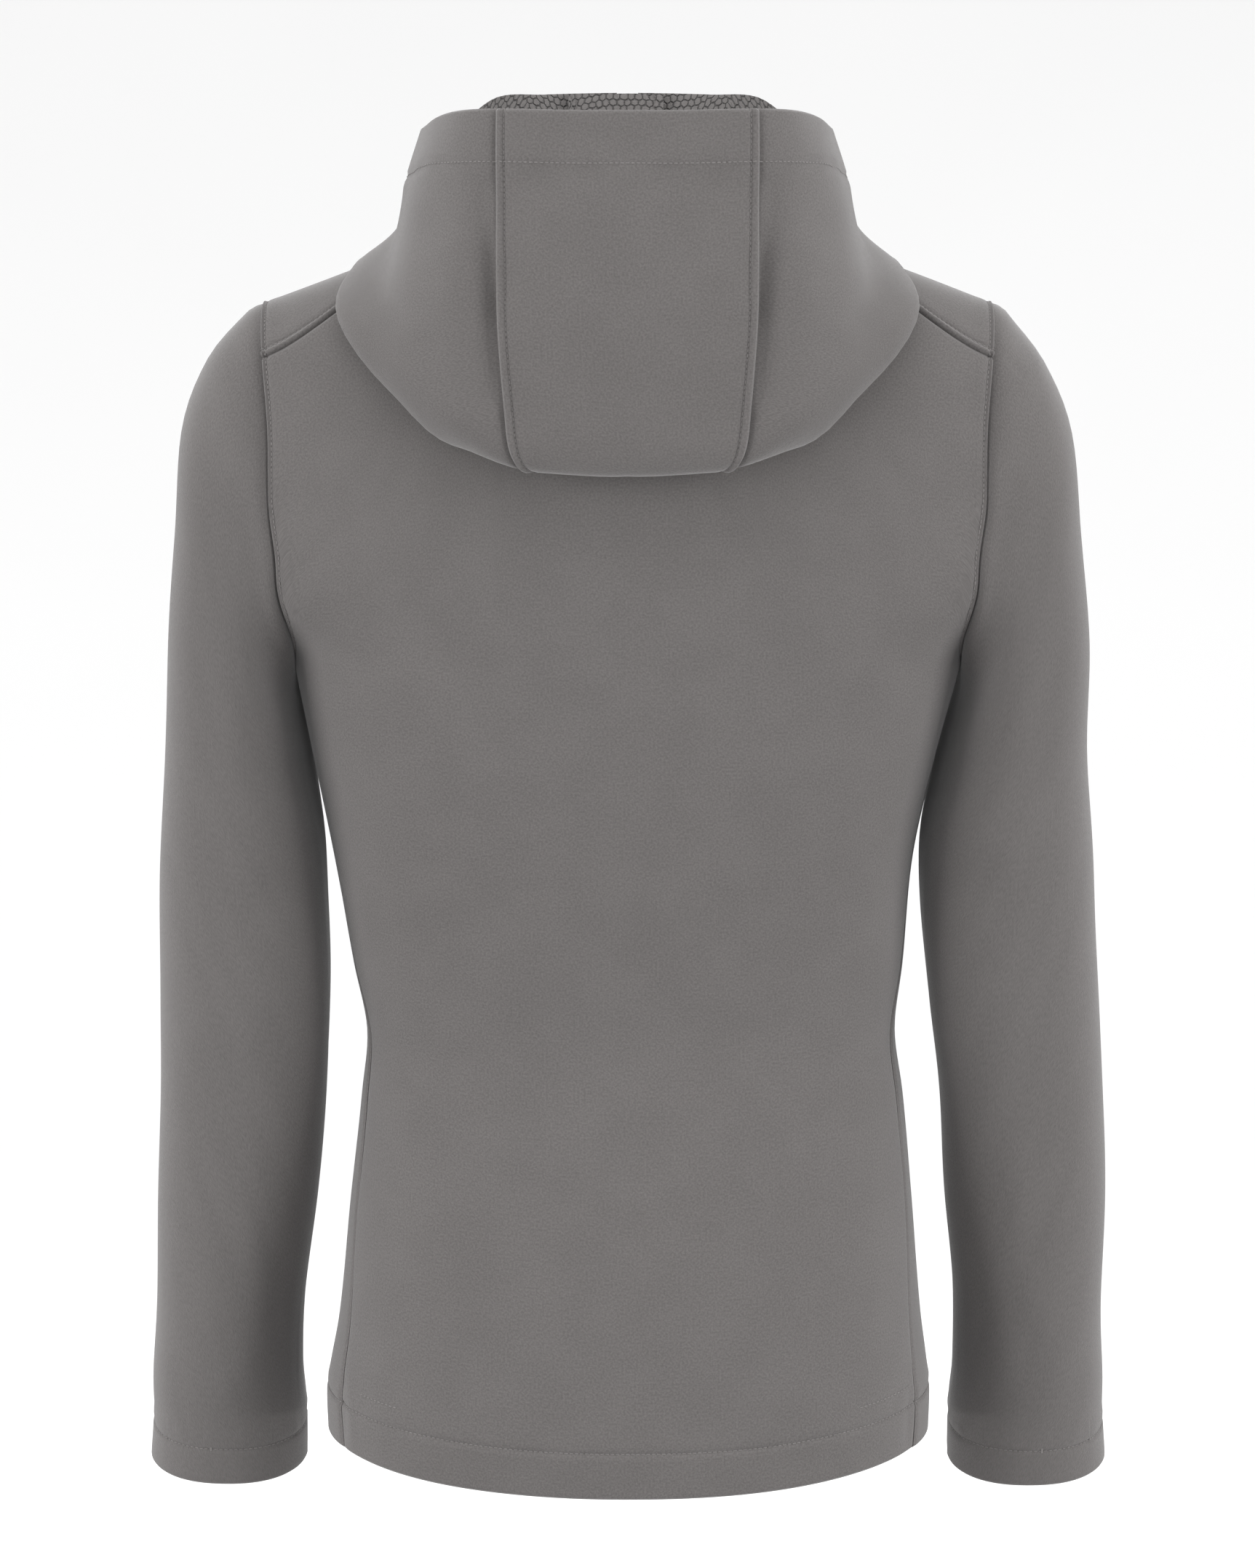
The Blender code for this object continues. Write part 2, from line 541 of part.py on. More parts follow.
def hood_directions(side):
    """Direction of each hood column at each step of the profile, and the neck seam's radius and height."""
    steps = np.arange(UNDER_STEPS + FOLD_STEPS + RISE_STEPS + 1)
    fold = UNDER_STEPS + FOLD_STEPS / 2
    seam = np.interp(steps, (fold, steps[-1]), PANEL_SEAM_DEG)[:, None]
    columns = np.arange(HOOD_HALF_COLUMNS + 1)
    side_share = np.clip((columns - 1) / (HOOD_SIDE_COLUMNS - 1), 0, 1)
    centre_share = np.clip((columns - HOOD_SIDE_COLUMNS) / (HOOD_HALF_COLUMNS - HOOD_SIDE_COLUMNS), 0, 1)
    even = TAPE_DEG + (seam - TAPE_DEG) * side_share + (180 - seam) * centre_share
    even[:, 0] = ZIP_DEG
    corners = neck_corners(side)
    neck = np.stack([np.interp(columns, NECK_COLUMNS, corners[:, axis]) for axis in range(3)], -1)
    back_of_axis = neck[:, 1] - HOOD_AXIS_Y
    at_neck = np.degrees(np.arctan2(np.abs(neck[:, 0]), -back_of_axis))
    spread = ease(0, UNDER_STEPS - 1, steps)[:, None]
    return mix(at_neck[None, :], even, spread), np.hypot(neck[:, 0], back_of_axis), neck[:, 2] + NECK_GAP


def hood_half(side):
    """Grid of half the hood, from the zip round to the centre back, neck seam to rim."""
    degrees, neck_r, neck_z = hood_directions(side)
    return hood_grid(degrees, neck_r, neck_z, side)


def hood_grid(degrees, neck_r, neck_z, side):
    """Points of the hood in the given directions, one row for each step of the profile."""
    rows = []
    for row in range(len(degrees)):
        rows.append(hood_profile(degrees[row], neck_r, neck_z)[row])
    radius, height = np.moveaxis(np.array(rows), -1, 0)
    turn = np.radians(degrees)
    return np.stack([side * radius * np.sin(turn), HOOD_AXIS_Y - radius * np.cos(turn), height], -1)


def grid_normal(points):
    """Directions out of a grid of points, from its neighbours."""
    return unit(np.cross(np.gradient(points, axis=1), np.gradient(points, axis=0)))


def neck_corners(side):
    """Corners of the panels along the neck edge, from beside the zip to the centre back."""
    at_neck = [place for place in FRONT_ACROSS if place <= NECK_PLACE]
    front = panel(panel_share(at_neck), 2.0, False, side)
    behind = [place for place in BACK_ACROSS if place < NECK_PLACE]
    back = panel(np.maximum(panel_share(behind[::-1]), TINY), 2.0, True, side)
    return np.concatenate([front, back])


def strip_line(x, depth, top_trim):
    """Points up the inside of the closed front and collar at one distance from the zip, hem to collar top."""
    side = 1 if x >= 0 else -1
    share = panel_share(np.abs(x) / STRIP_HALF)
    up = panel_rows(FRONT_RISE)
    facing = panel_normal(share, up, False, side)
    facing[-1] = NECK_TURN_REACH * unit(facing[-1] + STRAIGHT_AHEAD)
    front = panel(share, up, False, side) - depth * facing
    front[0, 2] += HEM_CLEAR
    steps = UNDER_STEPS + FOLD_STEPS + RISE_STEPS + 1
    middle = np.degrees(np.arcsin(np.abs(x) / COLLAR_RADIUS))
    degrees = np.repeat([[middle - 1, middle, middle + 1]], steps, axis=0)
    neck = panel(share, 2.0, False, side)
    neck_r = np.full(3, np.hypot(neck[0], neck[1] - HOOD_AXIS_Y))
    collar = hood_grid(degrees, neck_r, np.full(3, neck[2] + NECK_GAP), side)
    collar = collar - depth * grid_normal(collar) * side
    collar = np.delete(collar[UNDER_STEPS:, 1], np.arange(1, FOLD_STEPS), axis=0)
    collar[-1] += top_trim * unit(collar[-2] - collar[-1])
    return np.concatenate([front, collar])


def strip_wall(name, edges, depth, thick, top_trim, material):
    """A long strip behind the zip, through lines at the given distances from the centre."""
    outer = np.stack([strip_line(x, depth, top_trim) for x in edges], axis=1)
    inner = np.stack([strip_line(x, depth + thick, top_trim) for x in edges], axis=1)
    return cloth_wall(name, outer, inner, material)


def eased_box(bm, size, centre, bevel, steps):
    """A box of a size about a centre, with eased edges."""
    place = Matrix.Translation(centre) @ Matrix.Diagonal((*size, 1))
    bmesh.ops.create_cube(bm, size=1.0, matrix=place)
    bmesh.ops.bevel(bm, geom=bm.edges[:], offset=bevel, segments=steps, affect="EDGES")


def sharp_box(bm, size, centre):
    """A box of a size about a centre."""
    bmesh.ops.create_cube(bm, size=1.0, matrix=Matrix.Translation(centre) @ Matrix.Diagonal((*size, 1)))


def rod(bm, radius, length, centre):
    """A round rod along X."""
    place = Matrix.Translation(centre) @ Matrix.Rotation(QUARTER_TURN, 4, "Y")
    bmesh.ops.create_cone(bm, cap_ends=True, segments=ROUND_SIDES, radius1=radius, radius2=radius,
                          depth=length, matrix=place)


def solid(name, material, shape, *sizes):
    """One object from one shape and its sizes."""
    bm = bmesh.new()
    shape(bm, *sizes)
    return add_object(name, bm, material)


def join(target, tool, operation):
    """Boolean of a hidden tool shape on a target."""
    tool.hide_render = True
    tool.display_type = "WIRE"
    change = target.modifiers.new(tool.name, "BOOLEAN")
    change.operation = operation
    change.object = tool
    change.solver = "EXACT"


for item in list(bpy.data.objects):
    bpy.data.objects.remove(item, do_unlink=True)
parts = bpy.data.collections.new("hooded_jacket")
bpy.context.scene.collection.children.link(parts)

shell = paint("shell_cloth", (0.10, 0.094, 0.092), 0.85)
tape_cloth = paint("tape_cloth", (0.09, 0.086, 0.085), 0.85)
zip_metal = paint("zip_metal", (0.12, 0.115, 0.112), 0.4, 0.8)

backs = {}
for side in (1, -1):
    word = "left" if side > 0 else "right"
    front_outer, front_inner = front_panel(side)
    back_outer, back_inner = back_half(side)
    backs[side] = (back_outer, back_inner)
    arm_rows = len(BODY_LEVELS) - 1
    armhole = np.concatenate([back_outer[arm_rows:, -1][::-1], front_outer[arm_rows + 1:, -1]])
    armhole_in = np.concatenate([back_inner[arm_rows:, -1][::-1], front_inner[arm_rows + 1:, -1]])
    armhole_normal = unit(armhole - armhole_in)
    sleeve_outer, sleeve_inner = sleeve_faces(side, armhole, armhole_normal)
    seams = ("right", "top")
    cloth_wall("front_" + word, trim(front_outer, seams), trim(front_inner, seams), shell)
    cloth_tube("sleeve_" + word, sleeve_outer, sleeve_inner, shell)

back_outer = np.concatenate([backs[-1][0][:, :0:-1], backs[1][0]], axis=1)
back_inner = np.concatenate([backs[-1][1][:, :0:-1], backs[1][1]], axis=1)
back_seams = ("left", "right", "top")
cloth_wall("back", trim(back_outer, back_seams), trim(back_inner, back_seams), shell)

hood_outer = np.concatenate([hood_half(-1), hood_half(1)[:, -2::-1]], axis=1)
hood_inner = hood_outer + WALL * grid_normal(hood_outer)
hood_spans = {
    "hood_side_right": (0, HOOD_SIDE_COLUMNS, ("right",)),
    "hood_centre": (HOOD_SIDE_COLUMNS, 2 * HOOD_HALF_COLUMNS - HOOD_SIDE_COLUMNS, ("left", "right")),
    "hood_side_left": (2 * HOOD_HALF_COLUMNS - HOOD_SIDE_COLUMNS, 2 * HOOD_HALF_COLUMNS, ("left",)),
}
for name, (first, last, seams) in hood_spans.items():
    cut = slice(first, last + 1)
    cloth_wall(name, trim(hood_outer[:, cut], seams), trim(hood_inner[:, cut], seams), shell)

tape_lines = np.array((TAPE_INNER_EDGE, TAPE_WIDTH))
strip_wall("zip_tape_left", tape_lines, TAPE_DEPTH, TAPE_THICK, TAPE_TOP_TRIM, tape_cloth)
strip_wall("zip_tape_right", -tape_lines, TAPE_DEPTH, TAPE_THICK, TAPE_TOP_TRIM, tape_cloth)
flap_lines = (-FLAP_RIGHT, -TAPE_INNER_EDGE, FLAP_LEFT / 2, FLAP_LEFT)
strip_wall("storm_flap", flap_lines, FLAP_DEPTH, FLAP_THICK, FLAP_TOP_TRIM, shell)

chain_line = strip_line(TAPE_INNER_EDGE, TAPE_DEPTH, TAPE_TOP_TRIM)
slider_back = float(np.interp(SLIDER_Z, chain_line[:, 2], chain_line[:, 1])) - SLIDER_CLEARANCE
slider_middle = (0, slider_back - SLIDER_SIZE[1] / 2, SLIDER_Z)
face_y = slider_back - SLIDER_SIZE[1]
hinge = (0.0, face_y - HINGE_REACH, SLIDER_Z + HINGE_ABOVE_MIDDLE)

slider_easing = (SLIDER_BEVEL, SLIDER_BEVEL_STEPS)
slider = solid("zip_slider", zip_metal, eased_box, SLIDER_SIZE, slider_middle, *slider_easing)
for lug_x in (-LUG_SPREAD, LUG_SPREAD):
    lug_middle = (lug_x, face_y - LUG_SIZE[1] / 2 + LUG_ROOT, hinge[2])
    join(slider, solid("lug", zip_metal, sharp_box, LUG_SIZE, lug_middle), "UNION")
join(slider, solid("bar", zip_metal, rod, BAR_RADIUS, 2 * LUG_SPREAD, hinge), "UNION")

tab_middle = (0, 0, -TAB_SIZE[2] / 2 - EYE_HOLE)
pull = solid("zip_pull", zip_metal, eased_box, TAB_SIZE, tab_middle, TAB_BEVEL, TAB_BEVEL_STEPS)
eye = solid("eye", zip_metal, rod, EYE_RADIUS, EYE_WIDTH, (0, 0, 0))
hole = solid("hole", zip_metal, rod, EYE_HOLE, 2 * EYE_WIDTH, (0, 0, 0))
join(pull, eye, "UNION")
join(pull, hole, "DIFFERENCE")
for piece in (pull, eye, hole):
    piece.location = hinge
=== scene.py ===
# %% [markdown]
# # A hooded softshell jacket, seen from behind
# The jacket stands in its worn shape with nothing inside it: two fronts, a back, two sleeves and a hood in
# three panels that lies down behind the neck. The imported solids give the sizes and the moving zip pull.
# This lesson puts cloth on them: each panel is worked out again as a fine sheet, with its seams, hems,
# stitches and creases, a fleece inside and a napped outside.

import bpy
import numpy as np
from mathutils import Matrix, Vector


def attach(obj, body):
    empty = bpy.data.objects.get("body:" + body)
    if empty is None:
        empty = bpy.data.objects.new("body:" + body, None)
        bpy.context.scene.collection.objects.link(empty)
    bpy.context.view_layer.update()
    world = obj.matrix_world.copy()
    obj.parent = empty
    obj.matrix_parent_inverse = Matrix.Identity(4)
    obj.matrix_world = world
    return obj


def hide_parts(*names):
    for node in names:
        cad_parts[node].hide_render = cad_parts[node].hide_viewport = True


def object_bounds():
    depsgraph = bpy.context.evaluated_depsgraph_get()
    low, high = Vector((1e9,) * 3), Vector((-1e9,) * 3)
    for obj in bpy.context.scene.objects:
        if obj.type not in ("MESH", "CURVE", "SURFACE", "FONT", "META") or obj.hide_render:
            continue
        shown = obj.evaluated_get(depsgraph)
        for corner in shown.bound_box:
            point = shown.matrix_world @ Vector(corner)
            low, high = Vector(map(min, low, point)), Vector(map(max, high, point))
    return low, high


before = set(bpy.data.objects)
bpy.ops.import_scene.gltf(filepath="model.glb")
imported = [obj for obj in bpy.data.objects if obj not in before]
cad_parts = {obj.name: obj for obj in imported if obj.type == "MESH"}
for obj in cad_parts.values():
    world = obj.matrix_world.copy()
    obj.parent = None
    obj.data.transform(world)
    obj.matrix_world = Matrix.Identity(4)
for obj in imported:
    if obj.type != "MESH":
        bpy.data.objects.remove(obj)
cad_low, cad_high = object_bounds()
scene = bpy.context.scene
cad_size = [round(high - low, 3) for low, high in zip(cad_low, cad_high)]
print("frame with", len(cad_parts), "nodes,", cad_size)

# %% [markdown]
# ## The photograph's view
# Creases and stitches have to fall where the photograph shows them. The camera stands behind the jacket, a
# little above its middle. The same numbers also tell where any point of the cloth appears in the picture,
# so a crease can be written in millimetres across and up as it is seen, and still sit on the cloth itself.

# %% Camera and the two views that place creases
PHOTO_SIZE = (1725, 2156)
METRES_PER_PIXEL = 0.00039
VIEW_DISTANCE = 3.0
VIEW_ELEVATION = np.radians(8.0)
VIEW_TARGET = np.array((0.0, 0.0, -0.303))
SENSOR = 36.0
MM = 0.001

TOWARDS_VIEWER = np.array((0.0, np.cos(VIEW_ELEVATION), np.sin(VIEW_ELEVATION)))
VIEW_UP = np.array((0.0, -np.sin(VIEW_ELEVATION), np.cos(VIEW_ELEVATION)))
VIEW_PLACE = VIEW_TARGET + VIEW_DISTANCE * TOWARDS_VIEWER
TOWARDS_FRONT = np.array((0.0, -1.0, 0.0))


def seen_from_behind(points):
    """Millimetres across and up in the photograph: each point pulled to the plane of the jacket's middle."""
    away = points - VIEW_PLACE
    scale = VIEW_DISTANCE / -(away @ TOWARDS_VIEWER) / MM
    up = (points - VIEW_TARGET) @ VIEW_UP * scale + VIEW_TARGET[2] / MM
    return np.stack([points[..., 0] * scale, up], -1)


def seen_from_front(points):
    """Millimetres across and up as seen straight from the front."""
    return points[..., (0, 2)] / MM


camera = bpy.data.objects.new("camera", bpy.data.cameras.new("camera"))
camera.location = VIEW_PLACE
camera.rotation_euler = Vector(-TOWARDS_VIEWER).to_track_quat("-Z", "Y").to_euler()
camera.data.sensor_width = SENSOR
camera.data.lens = SENSOR * VIEW_DISTANCE / (PHOTO_SIZE[1] * METRES_PER_PIXEL)
scene.collection.objects.link(camera)
scene.camera = camera
print("lens", round(camera.data.lens, 1), "mm")

# %% [markdown]
# ## Helpers for smooth shapes
# Every panel is a formula of two parameters: one runs across the cloth and one runs up it. A table gives
# sizes at a few sections, and a smooth curve through a table's column gives the sizes in between.

# %% Curves and small helpers
QUARTER_TURN = np.pi / 2
TINY = 1e-6
LEAST_STEP = 0.0001
PLACE_DIGITS = 6


def mix(first, second, share):
    """Part of the way from the first value to the second."""
    return first + (second - first) * share


def ease(low, high, value):
    """Rises softly from 0 at low to 1 at high."""
    share = np.clip((value - low) / (high - low), 0, 1)
    return share * share * (3 - 2 * share)


def unit(vectors):
    """Vectors brought to length one."""
    return vectors / np.maximum(np.linalg.norm(vectors, axis=-1, keepdims=True), TINY ** 2)


def hill(distance, centre, width):
    """A soft bump of height one about a centre: a bell curve."""
    return np.exp(-((distance - centre) / width) ** 2)


def through(knots, values, at):
    """A cubic through each pair of table values, with slopes taken from the neighbours."""
    slopes = np.gradient(values, knots)
    at = np.clip(np.asarray(at, float), knots[0], knots[-1])
    index = np.clip(np.searchsorted(knots, at, side="right") - 1, 0, len(knots) - 2)
    width = knots[index + 1] - knots[index]
    part = (at - knots[index]) / width
    start = values[index] * (1 + 2 * part) * (1 - part) ** 2 + slopes[index] * width * part * (1 - part) ** 2
    end = values[index + 1] * part ** 2 * (3 - 2 * part) + slopes[index + 1] * width * part ** 2 * (part - 1)
    return start + end


def spaced(length, coarse, fine_at=(), fine_steps=()):
    """Places from 0 to a length at a coarse step, with extra ones about each place that needs detail."""
    places = [np.linspace(0, length, max(2, round(length / coarse) + 1))]
    for place in fine_at:
        places.append(place + np.array(fine_steps))
    joined = np.unique(np.round(np.concatenate(places), PLACE_DIGITS))
    inside = joined[(joined >= 0) & (joined <= length)]
    return inside[np.concatenate([[True], np.diff(inside) > LEAST_STEP])]


print("helpers ready")

# %% [markdown]
# ## The body: a ring of cloth and an arch over the shoulders
# From hem to underarm the fronts and back lie on one rounded oval, narrow at the waist. Above that each
# column of cloth arches over the shoulder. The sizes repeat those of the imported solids, so the fine cloth
# lies where they are.

# %% Sizes of the body
WALL = 0.0016
RING_POWER = 2.3
BODY_COLUMNS = ("z", "half_left", "half_right", "back", "front", "tail", "seam_deg")
BODY_ROWS = (
    (-0.655, 0.1622, 0.1628, 0.106, 0.104, 0.014, 111.0),
    (-0.632, 0.1628, 0.1632, 0.107, 0.105, 0.013, 110.0),
    (-0.592, 0.1563, 0.1588, 0.105, 0.104, 0.008, 108.0),
    (-0.527, 0.1495, 0.1539, 0.098, 0.102, 0.003, 105.0),
    (-0.470, 0.1430, 0.1483, 0.088, 0.098, 0.000, 103.0),
    (-0.436, 0.1400, 0.1438, 0.083, 0.096, 0.000, 101.0),
    (-0.399, 0.1472, 0.1479, 0.085, 0.099, 0.000, 99.0),
    (-0.335, 0.1585, 0.1535, 0.092, 0.110, 0.000, 95.0),
    (-0.285, 0.1680, 0.1650, 0.097, 0.119, 0.000, 92.0),
    (-0.235, 0.1780, 0.1780, 0.099, 0.122, 0.000, 90.0),
)
HEM_Z = BODY_ROWS[0][0]
UNDERARM_Z = BODY_ROWS[-1][0]
SHOULDER_SLOPE = 0.374
SHOULDER_TIP = 0.193
NECK_HALF = 0.072
NECK_BACK = 0.060
NECK_FRONT = 0.080
NECK_PLACE = NECK_HALF / SHOULDER_TIP
ARM_RISE = 0.42
BROADEN_RISE = 0.50
SWELL_RISE = 0.27
ARM_RING_HALF = 0.2045
ARM_BACK_HALF = 0.188
ARM_FRONT_HALF = 0.174
ARM_BACK_DEPTH = 0.060
ARM_FRONT_DEPTH = 0.054
ARCH_POWER_BACK = 2.7
ARCH_POWER_CHEST = 1.7
ARCH_POWER_FRONT_EDGE = 2.2
SHOULDER_SEAM_TURN = 38.0
SHOULDER_SEAM_BEND = 1.6
TIP_RISE_BACK = 0.60
TIP_RISE_FRONT = 0.45
NECK_ROUNDS = 12
ZIP_SHARE = 0.029


def body_at(name, z):
    """A size of the body ring at a level."""
    rows = np.array(BODY_ROWS)
    return through(rows[:, 0], rows[:, BODY_COLUMNS.index(name)], z)


def half_name(side):
    """The table column for the left or the right half."""
    return "half_left" if side > 0 else "half_right"


print("body", round(UNDERARM_Z - HEM_Z, 3), "m from hem to underarm")

# %% Formulas of the body


def across_of(share):
    """Distance from the centre line as a part of the half width, for a share of the quarter ring."""
    return np.sin(QUARTER_TURN * share) ** (2 / RING_POWER)


def panel_share(across):
    """The share of the quarter ring for a distance from the centre line."""
    return np.arcsin(np.asarray(across, float) ** (RING_POWER / 2)) / QUARTER_TURN


def lower_body(share, z, is_back, side):
    """Rounded oval: across is sine to a power, deep is cosine to a power, and the back hem dips as a tail."""
    seam = np.radians(body_at("seam_deg", z))
    angle = np.pi - (np.pi - seam) * share if is_back else seam * share
    across = np.abs(np.sin(angle)) ** (2 / RING_POWER)
    deep = np.abs(np.cos(angle)) ** (2 / RING_POWER)
    behind = np.cos(angle) < 0
    x = side * body_at(half_name(side), z) * across
    y = np.where(behind, body_at("back", z) * deep, -body_at("front", z) * deep)
    return np.stack([x, y, z - np.where(behind, body_at("tail", z) * deep ** 2, 0)], -1)


def ridge_height(x):
    """Height of the shoulder line at a distance from the centre."""
    return -SHOULDER_SLOPE * (np.abs(x) - NECK_HALF)


def arch_sizes(share, rise, is_back, side):
    """Width and depth of the arch: the ring, cut back by the armhole and swelling behind the arm.

    Higher up, both ease into the shoulder's own width and depth.
    """
    across = across_of(share)
    scoop = np.sqrt(np.maximum(1 - (1 - np.clip(rise / ARM_RISE, 0, 1)) ** 2, 0))
    middle = np.where(is_back, body_at("back", UNDERARM_Z), body_at("front", UNDERARM_Z))
    edge = np.where(is_back, ARM_BACK_DEPTH, ARM_FRONT_DEPTH)
    cut = np.arccos((edge * scoop / middle) ** (RING_POWER / 2))
    reached = mix(QUARTER_TURN, cut, share) * share
    half = body_at(half_name(side), UNDERARM_Z)
    swell = np.where(is_back, ease(0, SWELL_RISE, rise), 0)
    ring_x = mix(half, ARM_RING_HALF, swell) * np.sin(reached) ** (2 / RING_POWER)
    ring_depth = middle * np.cos(reached) ** (2 / RING_POWER)
    top_half = np.where(is_back, mix(ARM_BACK_HALF, SHOULDER_TIP, ease(TIP_RISE_BACK, 1, rise)),
                        mix(ARM_FRONT_HALF, SHOULDER_TIP, ease(TIP_RISE_FRONT, 1, rise)))
    top_depth = edge + (middle - edge) * (1 - across ** 2)
    weight = ease(0, BROADEN_RISE, rise)
    return mix(ring_x, top_half * across, weight), mix(ring_depth, top_depth, weight)


def arch_power(share, is_back):
    """Roundness of the arch: squarer behind, flatter over the chest."""
    return np.where(is_back, ARCH_POWER_BACK, mix(ARCH_POWER_CHEST, ARCH_POWER_FRONT_EDGE, across_of(share)))


def upper_body(share, angle, side):
    """Arch of cloth over the shoulder: rise and reach are sine and cosine on a rounded square."""
    is_back = angle > QUARTER_TURN
    folded = np.where(is_back, np.pi - angle, angle)
    power = arch_power(share, is_back)
    size = (np.abs(np.sin(folded)) ** power + np.abs(np.cos(folded)) ** power) ** (1 / power)
    rise = np.abs(np.sin(folded)) / size
    x, depth = arch_sizes(share, rise, is_back, side)
    y = np.where(is_back, depth, -depth) * np.abs(np.cos(folded)) / size
    return np.stack([side * x, y, UNDERARM_Z + (ridge_height(x) - UNDERARM_Z) * rise], -1)


print("body formulas ready")

# %% Panels and their top edges


def neck_angle(share, is_back, side):
    """Arch angle where a column meets the neck oval, found by stepping between width and rise."""
    power = arch_power(share, is_back)
    x = across_of(share) * SHOULDER_TIP
    depth = np.full_like(x, body_at("front", UNDERARM_Z))
    for _ in range(NECK_ROUNDS):
        wide = np.clip(x / NECK_HALF, 0, 1)
        reach = (NECK_BACK if is_back else NECK_FRONT) * np.sqrt(1 - wide ** 2) / depth
        rise = (1 - np.clip(reach, 0, 1) ** power) ** (1 / power)
        x, depth = arch_sizes(share, rise, np.full(x.shape, is_back), side)
    folded = np.arctan2(rise, reach)
    return np.pi - folded if is_back else folded


def top_angle(share, is_back, side):
    """Arch angle of the panel's top edge: the neck oval, then the shoulder seam behind the shoulder."""
    across = across_of(share)
    along = np.clip((across - NECK_PLACE) / (1 - NECK_PLACE), 0, 1)
    seam = QUARTER_TURN + np.radians(SHOULDER_SEAM_TURN * (1 - (1 - along) ** SHOULDER_SEAM_BEND))
    return np.where(across < NECK_PLACE - TINY, neck_angle(share, is_back, side), seam)


def panel(share, up, is_back, side):
    """A front or back panel: up is the level below the underarm, or 1 plus the share of the arch."""
    share, up = np.broadcast_arrays(np.asarray(share, float), np.asarray(up, float))
    top = top_angle(share, is_back, side)
    risen = np.clip(up - 1, 0, 1)
    angle = np.pi - (np.pi - top) * risen if is_back else top * risen
    below = lower_body(share, np.minimum(up, UNDERARM_Z), is_back, side)
    return np.where((up < 0)[..., None], below, upper_body(share, angle, side))


print("neck edge behind at", np.round(panel(TINY, 2.0, True, 1), 3))

# %% [markdown]
# ## Cloth on a grid
# A panel's points come as a grid. From the grid follow the direction out of the cloth, and how far along
# the cloth each point is from the panel's edges. Seams and hems are then simple: a ridge, a ditch or a
# stitched groove at a distance from an edge. The cloth's thickness is the same grid moved inwards.

# %% Grid measures and the shell builder
SHARP_DEG = 50


def along_cloth(points, axis):
    """Distance along the cloth from the grid's first row or column: the running sum of the steps."""
    steps = np.linalg.norm(np.diff(points, axis=axis), axis=-1)
    start = np.zeros_like(np.take(steps, [0], axis=axis))
    return np.cumsum(np.concatenate([start, steps], axis=axis), axis=axis)


def to_end(distance, axis):
    """Distance to the far edge, from the distance from the near edge."""
    return np.take(distance, [-1], axis=axis) - distance


def out_of(points, wraps=False):
    """Directions out of a grid: the cross product of its two running directions."""
    if wraps:
        looped = np.concatenate([points[:, -1:], points, points[:, :1]], axis=1)
        around = looped[:, 2:] - looped[:, :-2]
    else:
        around = np.gradient(points, axis=1)
    return unit(np.cross(around, np.gradient(points, axis=0)))


def quads(rows, columns, wraps):
    """Row and column of the four corners of every face of a grid."""
    row, col = np.meshgrid(np.arange(rows - 1), np.arange(columns if wraps else columns - 1), indexing="ij")
    corner_rows = np.stack([row, row, row + 1, row + 1], -1).reshape(-1, 4)
    corner_cols = np.stack([col, col + 1, col + 1, col], -1).reshape(-1, 4)
    return corner_rows, corner_cols


def make_mesh(name, points, faces, uvs, kinds, materials):
    """A smooth object from points, four-sided faces, a place on the cloth per corner and materials."""
    mesh = bpy.data.meshes.new(name)
    mesh.vertices.add(len(points))
    mesh.vertices.foreach_set("co", points.astype(np.float32).ravel())
    mesh.loops.add(faces.size)
    mesh.loops.foreach_set("vertex_index", faces.astype(np.int32).ravel())
    mesh.polygons.add(len(faces))
    mesh.polygons.foreach_set("loop_start", np.arange(0, faces.size, 4, dtype=np.int32))
    mesh.polygons.foreach_set("material_index", kinds.astype(np.int32))
    mesh.uv_layers.new(name="cloth").data.foreach_set("uv", uvs.astype(np.float32).ravel())
    for material in materials:
        mesh.materials.append(material)
    mesh.update(calc_edges=True)
    mesh.polygons.foreach_set("use_smooth", np.ones(len(faces), bool))
    mesh.set_sharp_from_angle(angle=np.radians(SHARP_DEG))
    made = bpy.data.objects.new(name, mesh)
    scene.collection.objects.link(made)
    return made


def faces_out(points, faces):
    """True if the faces of a closed mesh point outwards: its signed volume is positive."""
    a, b, c, d = (points[faces[:, corner]] for corner in range(4))
    return ((np.cross(b, c) * a).sum() + (np.cross(c, d) * a).sum()) > 0


